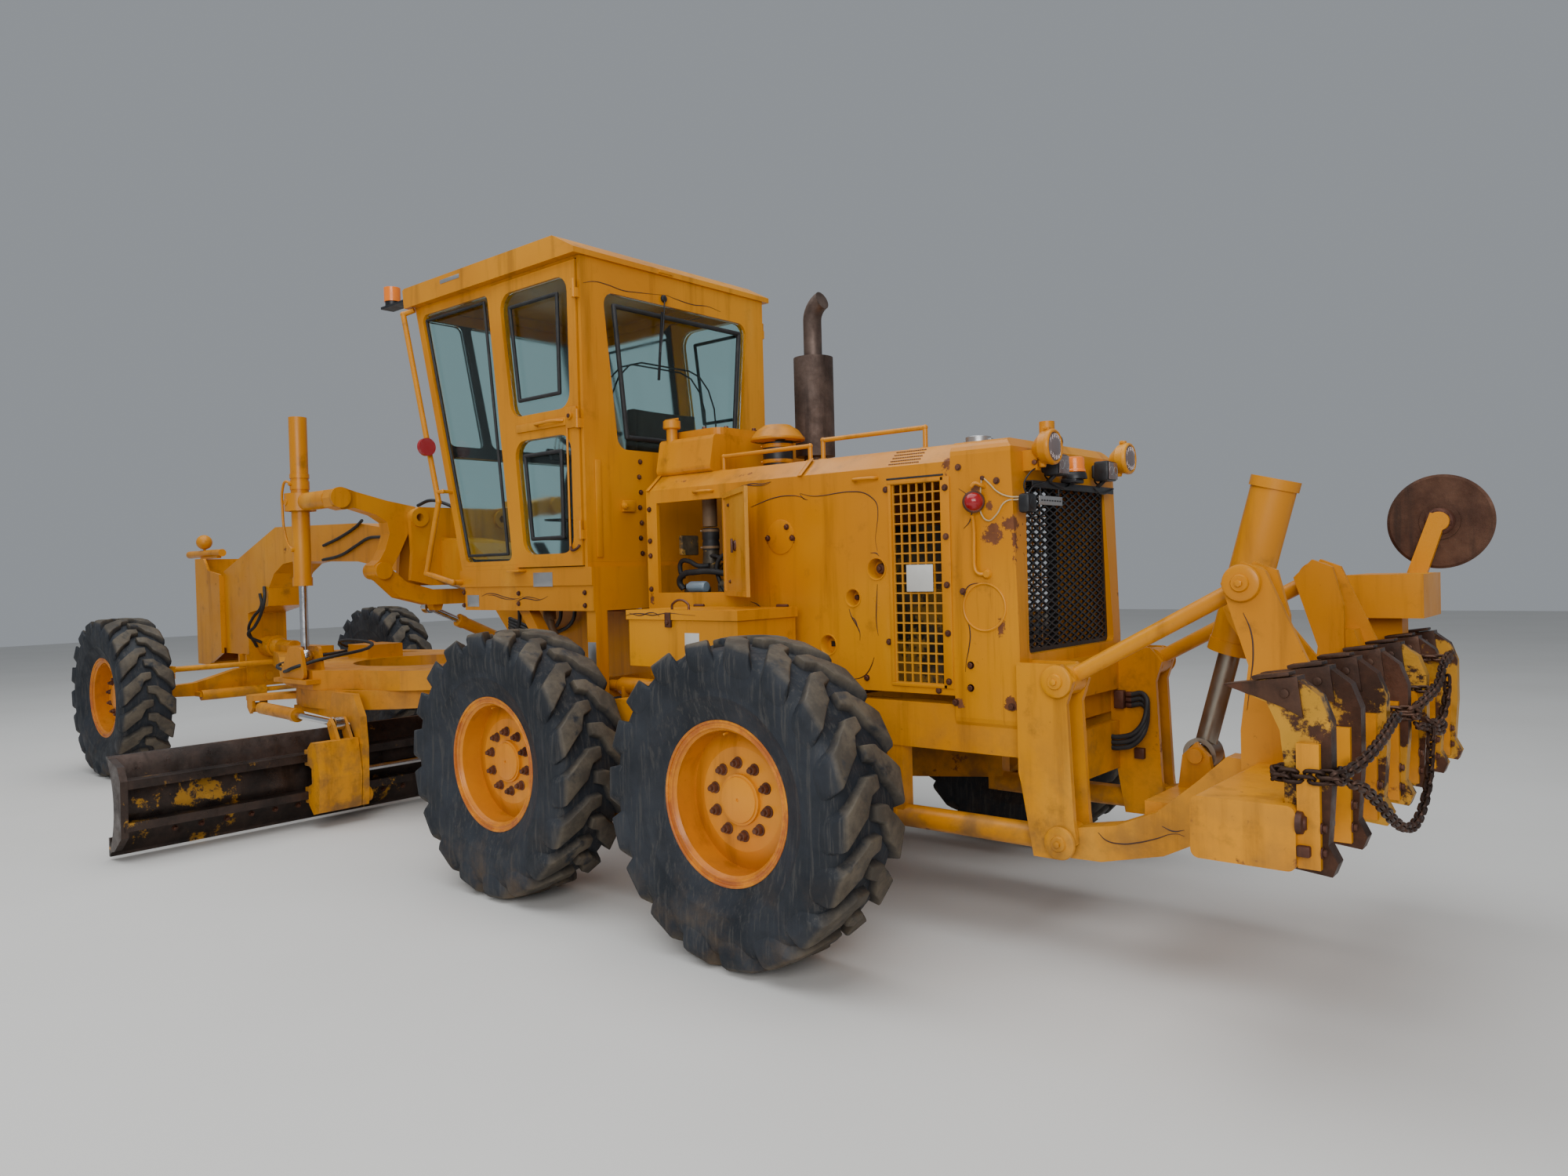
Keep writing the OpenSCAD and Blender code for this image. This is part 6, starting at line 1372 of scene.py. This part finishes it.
controls.append(post)
panel = block(Vector((-0.045, -0.255, -0.012)), Vector((0.045, 0.255, 0.012)), 0.008)
lean = Matrix.Rotation(math.radians(-52.0), 4, "Y")
panel.data.transform(Matrix.Translation(at(1.698, 0.0, 2.372)) @ lean)
controls.append(panel)
dress("steering_post", controls, "trim", "front_half", 40.0, ("cab_interior",))
levers, knobs, dials = [], [], []
for side in (1, -1):
    for k in range(5):
        foot = at(1.660, side * (0.120 + 0.030 * k), 2.380)
        head = at(1.600, side * (0.130 + 0.032 * k), 2.535)
        levers.append(drum(foot, head, 0.006, 0.0045, sides=12, edge=0))
        knobs.append(turned(mm((0, 14), (7, 12), (11.5, 5), (12, -4), (8, -12), (5, -16), (0, -16)), head,
            tuple((head - foot).normalized()), 20))
for y in (-0.060, 0.0, 0.060):
    face = at(1.686, y, 2.384)
    way = (-math.cos(math.radians(38.0)), 0.0, math.sin(math.radians(38.0)))
    dials.append(turned(mm((0, 0), (20, 0), (23, 4), (25, 2), (25, -8), (0, -8)),
        face + Vector(way) * 0.006, way, 28))
dress("control_levers", levers, "bright_rod", "front_half", 40.0, ("cab_interior",))
dress("lever_knobs", knobs, "black_rubber", "front_half", 60.0, ("cab_interior",))
dress("panel_dials", dials, "silver", "front_half", 40.0, ("cab_interior",))
pedals = []
for y in (-0.150, 0.150):
    pedals.append(block(at(1.930, y - 0.040, 1.735), at(1.950, y + 0.040, 1.835), 0.005, (0.0, 0.7, 0.0)))
    pedals.append(drum(at(1.952, y, 1.780), at(1.990, y, 1.680), 0.008, sides=12, edge=0))
dress("foot_pedals", pedals, "black_rubber", "front_half")

# Cab's dark inside, plates, rear wiper, mount and fixings
tint("cab_shell", "trim", (0.7960, -0.6952, 1.670), (2.500, 0.6952, 3.3295))
cab_bolts, cab_metal, cab_dark, cab_bright = [], [], [], []
bolt_at, bolt_way = [], []
for side in (1, -1):
    bolt_at += [at(0.750, side * (0.345 + 0.010 * (k % 2)), 1.720 + 0.0865 * k) for k in range(7)]
    bolt_way += [(-1.0, 0.0, 0.0)] * 7
    bolt_at += [at(x, side * 0.732, z) for x, z in ((1.390, 1.509), (1.393, 1.450), (1.947, 1.517),
        (1.951, 1.439), (0.790, 1.510), (0.790, 1.440))]
    bolt_way += [(0.0, side, 0.0)] * 6
    cab_metal.append(block(at(0.726, side * 0.449 - 0.044, 1.952),
        at(0.750, side * 0.449 + 0.044, 2.016), 0.006))
    cab_metal.append(turned(mm((0, 30), (8, 30), (9, 22), (16, 20), (18, 14), (19, 0), (0, 0)),
        at(0.728, side * 0.490, 1.984), (-1.0, 0.0, 0.0), 32))
    cab_metal.append(block(at(0.742, side * 0.655 - 0.020, 1.700),
        at(0.750, side * 0.655 + 0.020, 2.230), 0.003))
    # door stop and step tread at the sill
    cab_metal.append(block(at(1.300, side * 0.765 - 0.030, 1.632),
        at(1.420, side * 0.765 + 0.030, 1.644), 0.004))
cab_bolts += copies(bolt_form(0.011, 0.009), bolt_at, bolt_way)
wiper_hub = at(0.744, 0.132, 3.196)
cab_dark.append(turned(mm((0, 16), (12, 16), (20, 10), (22, 0), (0, 0)), wiper_hub, (-1.0, 0.0, 0.0), 24))
cab_dark.append(hose([wiper_hub + Vector((-0.010, 0, 0)), wiper_hub + Vector((-0.016, 0.020, -0.150)),
    wiper_hub + Vector((-0.016, 0.050, -0.320))], 0.004, 2))
cab_dark.append(block(wiper_hub + Vector((-0.014, 0.035, -0.480)),
    wiper_hub + Vector((-0.002, 0.049, -0.080)), 0.003, (0.10, 0.0, 0.0)))
cab_metal.append(block(at(0.728, 0.062, 3.338), at(0.750, 0.174, 3.356), 0.004))
for low, high in (((1.060, 0.7402, 1.546), (1.236, 0.7420, 1.626)), ((1.793, 0.7322, 1.431),
        (1.915, 0.7340, 1.501)), ((0.724, 0.7202, 1.100), (0.790, 0.7218, 1.240)),
        ((1.811, 0.7902, 3.404), (2.018, 0.7920, 3.428))):
    cab_bright.append(block(at(*low), at(*high), 0.0006))
dress("cab_bolts", cab_bolts, "rusty_bolt", "front_half", 32.0)
dress("cab_brackets", cab_metal, "cab_paint", "front_half", 38.0)
dress("cab_wiper", cab_dark, "black_steel", "front_half", 38.0)
dress("blank_cab_plates", cab_bright, "silver", "front_half", 30.0)
blank_plates = [block(at(-1.287, 0.5115, 1.496), at(-1.151, 0.5130, 1.613), 0.0006),
    block(at(-0.319, 0.9752, 1.217), at(-0.225, 0.9765, 1.325), 0.0006)]
dress("blank_side_plates", blank_plates, "plate_white", "rear_half", 30.0)
side_lines("cab_base_lines", "cab_base", "front_half", [
    [(1763, 1494), (1710, 1508), (1664, 1510), (1608, 1504), (1556, 1493), (1490, 1482), (1423, 1477),
        (1380, 1482), (1344, 1493)],
    [(1700, 1500), (1640, 1499), (1570, 1484), (1500, 1474), (1430, 1474)],
    [(1423, 1463), (1350, 1478), (1290, 1476), (1218, 1469), (1160, 1478), (1117, 1492)],
    [(1390, 1466), (1330, 1486), (1260, 1484), (1190, 1473)],
], 0.732)
rear_strokes = [[(0.717, 3.150), (0.642, 3.171), (0.548, 3.171), (0.435, 3.160), (0.331, 3.168),
    (0.206, 3.181), (0.100, 3.193)], [(0.100, 3.193), (-0.009, 3.181), (-0.120, 3.176),
    (-0.236, 3.187), (-0.354, 3.174)]]
dress("cab_rear_lines", [brush_line("cab_shell", [at(0.750, y, z + 0.030) for y, z in stroke],
    (1.0, 0.0, 0.0)) for stroke in rear_strokes], "pinstripe", "front_half", None)

# Pipes and hoses held at both ends

def laid(on, places, y, radius, side=1):
    """Places on the outer skin of the nodes named, seen from one side, or at y where nothing is met."""
    found = []
    for x, z in places:
        start = at(x / 1000, side * 1.6, z / 1000)
        reach = [nodes[node].ray_cast(start, Vector((0.0, -side, 0.0))) for node in on]
        skins = [side * hit[1].y for hit in reach if hit[0]]
        base = at(x / 1000, side * y, z / 1000)
        if skins and max(skins) > side * base.y - 0.25:
            base.y = side * (max(skins) + radius)
        found.append(base)
    return found


frame_hoses, frame_pipes = [], []
FRAME_SIDE = ("main_frame", "front_post")
for places, y, radius in (([(4844, 1905), (4542, 1967), (4292, 2039), (4170, 2081)], 0.20, 0.012),
        ([(4863, 1787), (4553, 1818), (4302, 1886), (4108, 1938), (3901, 1941)], 0.20, 0.012),
        ([(5977, 1573), (5912, 1460), (5996, 1325), (6129, 1215), (6262, 1131), (6268, 1060)], 0.22, 0.014),
        ([(6074, 1514), (6052, 1406), (6154, 1297), (6257, 1186), (6347, 1019)], 0.22, 0.013),
        ([(3347, 2149), (3182, 2176), (2986, 2142), (2854, 2099)], 0.20, 0.012),
        ([(3840, 2194), (3685, 2185), (3557, 2150)], 0.22, 0.012)):
    frame_hoses.append(hose(laid(FRAME_SIDE, places, y, radius), radius))
for k in range(5):
    frame_hoses.append(hose([at(1.800 - 0.075 * k, 0.440 - 0.050 * k, 1.402),
        at(1.815 - 0.070 * k, 0.430 - 0.050 * k, 1.330), at(1.900 - 0.060 * k, 0.400 - 0.045 * k, 1.262),
        at(2.050 - 0.040 * k, 0.340 - 0.035 * k, 1.245), at(2.200, 0.235, 1.250 + 0.020 * k)], 0.012))
frame_pipes.append(hose(spots(1, (1388, 520, 1400), (1392, 520, 1335), (1368, 505, 1230),
    (1352, 480, 1080)), 0.030))
frame_pipes.append(drum(at(1.388, 0.520, 1.345), at(1.388, 0.520, 1.402), 0.038, sides=28))
frame_pipes += union_pipe(spots(1, (2330, 215, 1470), (2900, 215, 1560), (3300, 215, 1660)), 0.010)
dress("frame_hoses", frame_hoses, "black_rubber", "front_half", 45.0)
dress("frame_pipes", frame_pipes, "dusty_pipe", "front_half", 40.0)
for side, hand in ((1, "left"), (-1, "right")):
    body = "lift_barrel_" + hand
    tube = [hose(spots(side, (3700, 972, 2300), (3735, 985, 2318), (3790, 985, 2270), (3812, 980, 2120),
        (3800, 975, 1960), (3765, 960, 1860), (3712, 950, 1836)), 0.009)]
    tube += [drum(at(3.700, side * 0.945, z), at(3.700, side * 0.984, z), 0.016, sides=6,
        edge=0.002) for z in (2.300, 1.836)]
    dress("lift_pipes_" + hand, tube, "paint", body, 40.0)
draw_hoses = []
for places, y, radius in (([(4554, 1073), (4402, 1125), (4161, 1143), (3886, 1115), (3627, 1021),
        (3805, 980), (4173, 955), (4461, 980), (4556, 1037)], 0.30, 0.012),
        ([(4794, 770), (4719, 720), (4542, 700), (4242, 700), (3900, 705)], 0.40, 0.012)):
    draw_hoses.append(hose(laid(("drawbar",), places, y, radius), radius))
dress("drawbar_hoses", draw_hoses, "black_rubber", "drawbar", 45.0)

# Ripper: hose manifold, step, painted lines, beam fixings, disc hub
ripper_iron, ripper_rubber = [], []
ripper_iron.append(block(at(-1.764, -0.400, 0.918), at(-1.716, -0.345, 1.003), 0.006))
for z in (0.935, 0.960, 0.985):
    ripper_iron.append(drum(at(-1.768, -0.372, z), at(-1.796, -0.372, z), 0.014, sides=6, edge=0.002))
    ripper_rubber.append(hose([at(-1.790, -0.372, z), at(-1.850, -0.368, z + 0.005),
        at(-1.880, -0.330, z - 0.060), at(-1.840, -0.300, z - 0.160), at(-1.760, -0.290, z - 0.190),
        at(-1.722, -0.290, z - 0.190)], 0.012))
ripper_iron.append(block(at(-1.853, -0.402, 0.690), at(-1.805, -0.354, 0.740), 0.005))
dress("ripper_manifold", ripper_iron, "rusty_bolt", "rear_half", 34.0)
dress("ripper_hoses", ripper_rubber, "black_rubber", "rear_half", 45.0)
side_lines("ripper_arm_lines", "ripper_arms", "ripper_arms", [
    [(-2011, 554), (-2041, 529), (-2101, 523), (-2170, 538), (-2237, 562), (-2313, 592), (-2345, 587)],
    [(-2262, 613), (-2304, 600), (-2345, 610)],
], 0.510)
side_lines("tower_lines", "ripper_carriage", "ripper_carriage", [
    [(-2576, 1414), (-2600, 1353), (-2607, 1266), (-2597, 1178), (-2583, 1072)],
], 0.542)
beam_iron = [turned(mm((0, 26), (18, 26), (22, 20), (32, 16), (34, 0), (0, 0)), at(-2.900, 1.149, 0.842),
    (-1.0, 0.0, 0.0), 32), block(at(-2.936, 1.085, 0.746), at(-2.899, 1.168, 0.778), 0.005)]
for y in SHANK_Y:
    for s in (-1, 1):
        beam_iron += copies(bolt_form(0.012, 0.010),
            [at(-2.962, y + s * 0.0435, z) for z in (0.760, 0.830)], (-1.0, 0.0, 0.0))
dress("beam_fixings", beam_iron, "rusty_bolt", "ripper_carriage", 32.0)
disc_iron = []
for s in (1, -1):
    place, way = surface("edge_cutter", at(-2.926 + 0.020, -1.100 + s * 0.6, 1.746 + 0.020), (0.0, -s, 0.0))
    centre = at(-2.926, -1.100, 1.746)
    centre.y = place.y
    disc_iron.append(turned(mm((0, 22), (20, 22), (24, 16), (52, 12), (60, 4), (62, -4),
        (0, -4)), centre, tuple(way), 40))
    disc_iron += copies(bolt_form(0.009, 0.008), [centre + Vector((0.042 * math.cos(a), s * 0.013,
        0.042 * math.sin(a))) for a in (0.2, 1.25, 2.3, 3.35, 4.4, 5.45)], (0.0, float(s), 0.0))
dress("disc_hub", disc_iron, "rusty_bolt", "edge_cutter", 32.0)

# Blade: bolts along the cutting edge and the nuts behind it
blade_bolts, edge_nuts = [], []
facing_front, facing_rear = [], []
for i in range(27):
    y = -1.950 + 0.150 * i
    for z in (0.105, 0.160):
        place, way = surface("moldboard", at(4.200, y, z), (-1.0, 0.0, 0.0))
        blade_bolts.append(place)
        facing_front.append(tuple(way))
    place, way = surface("moldboard", at(2.000, y, 0.135), (1.0, 0.0, 0.0))
    edge_nuts.append(place)
    facing_rear.append(tuple(way))
flush_bolt = turned(mm((0, 3.5), (7, 3.5), (8, 1.5), (13.5, 2.5), (15, -1), (0, -1)), (0, 0, 0), steps=14)
dress("edge_bolts", copies(flush_bolt, blade_bolts, facing_front), "rusty_bolt", "moldboard", 32.0)
dress("edge_nuts", copies(bolt_form(0.014, 0.012), edge_nuts, facing_rear), "rusty_bolt", "moldboard", 32.0)

# Battery lids, air tank and the step rail by the tandem
lid_iron, tank_parts = [], []
for side in (1, -1):
    lid_iron.append(hose(spots(side, (-70, 905, 1428), (-75, 905, 1456), (-180, 905, 1456),
        (-185, 905, 1428)), 0.006))
    lid_iron.append(block(at(-0.145, side * 0.984 - 0.006, 1.350),
        at(-0.105, side * 0.984 + 0.006, 1.420), 0.003))
    lid_iron.append(drum(at(-0.125, side * 0.986, 1.372),
        at(-0.125, side * 1.000, 1.372), 0.010, sides=14, edge=0.002))
    for x in (-0.480, 0.080):
        lid_iron.append(drum(at(x - 0.035, side * 0.572, 1.434),
            at(x + 0.035, side * 0.572, 1.434), 0.009, sides=14))
    tank_parts.append(turned(mm((0, 0), (20, 2), (38, 12), (46, 30), (47, 330), (40, 348), (30, 356),
        (28, 440), (0, 440)), at(0.320, side * 0.600, 0.998), (1.0, 0.0, 0.0), 40))
    tank_parts += [block(at(x - 0.012, side * 0.600 - 0.050, 0.936),
        at(x + 0.012, side * 0.600 + 0.050, 1.000), 0.004) for x in (0.420, 0.600)]
    tank_parts.append(block(at(0.400, side * 0.565 - 0.040, 0.922),
        at(0.620, side * 0.565 + 0.040, 0.938), 0.003))
dress("battery_fittings", lid_iron, "rusty_bolt", "rear_half", 38.0)
dress("air_tanks", tank_parts, "low_paint", "rear_half", 38.0)

# Floor
bpy.ops.mesh.primitive_plane_add(size=60.0, location=(0.0, 0.0, 0.0))
floor = bpy.context.object
floor.name = "studio_floor"
ground = Recipe("studio_floor")
pale = ground.mix(ground.noise(0.6, 3.0), (0.60, 0.585, 0.555), (0.68, 0.665, 0.64))
floor.data.materials.append(ground.set(Roughness=0.85).done(pale))
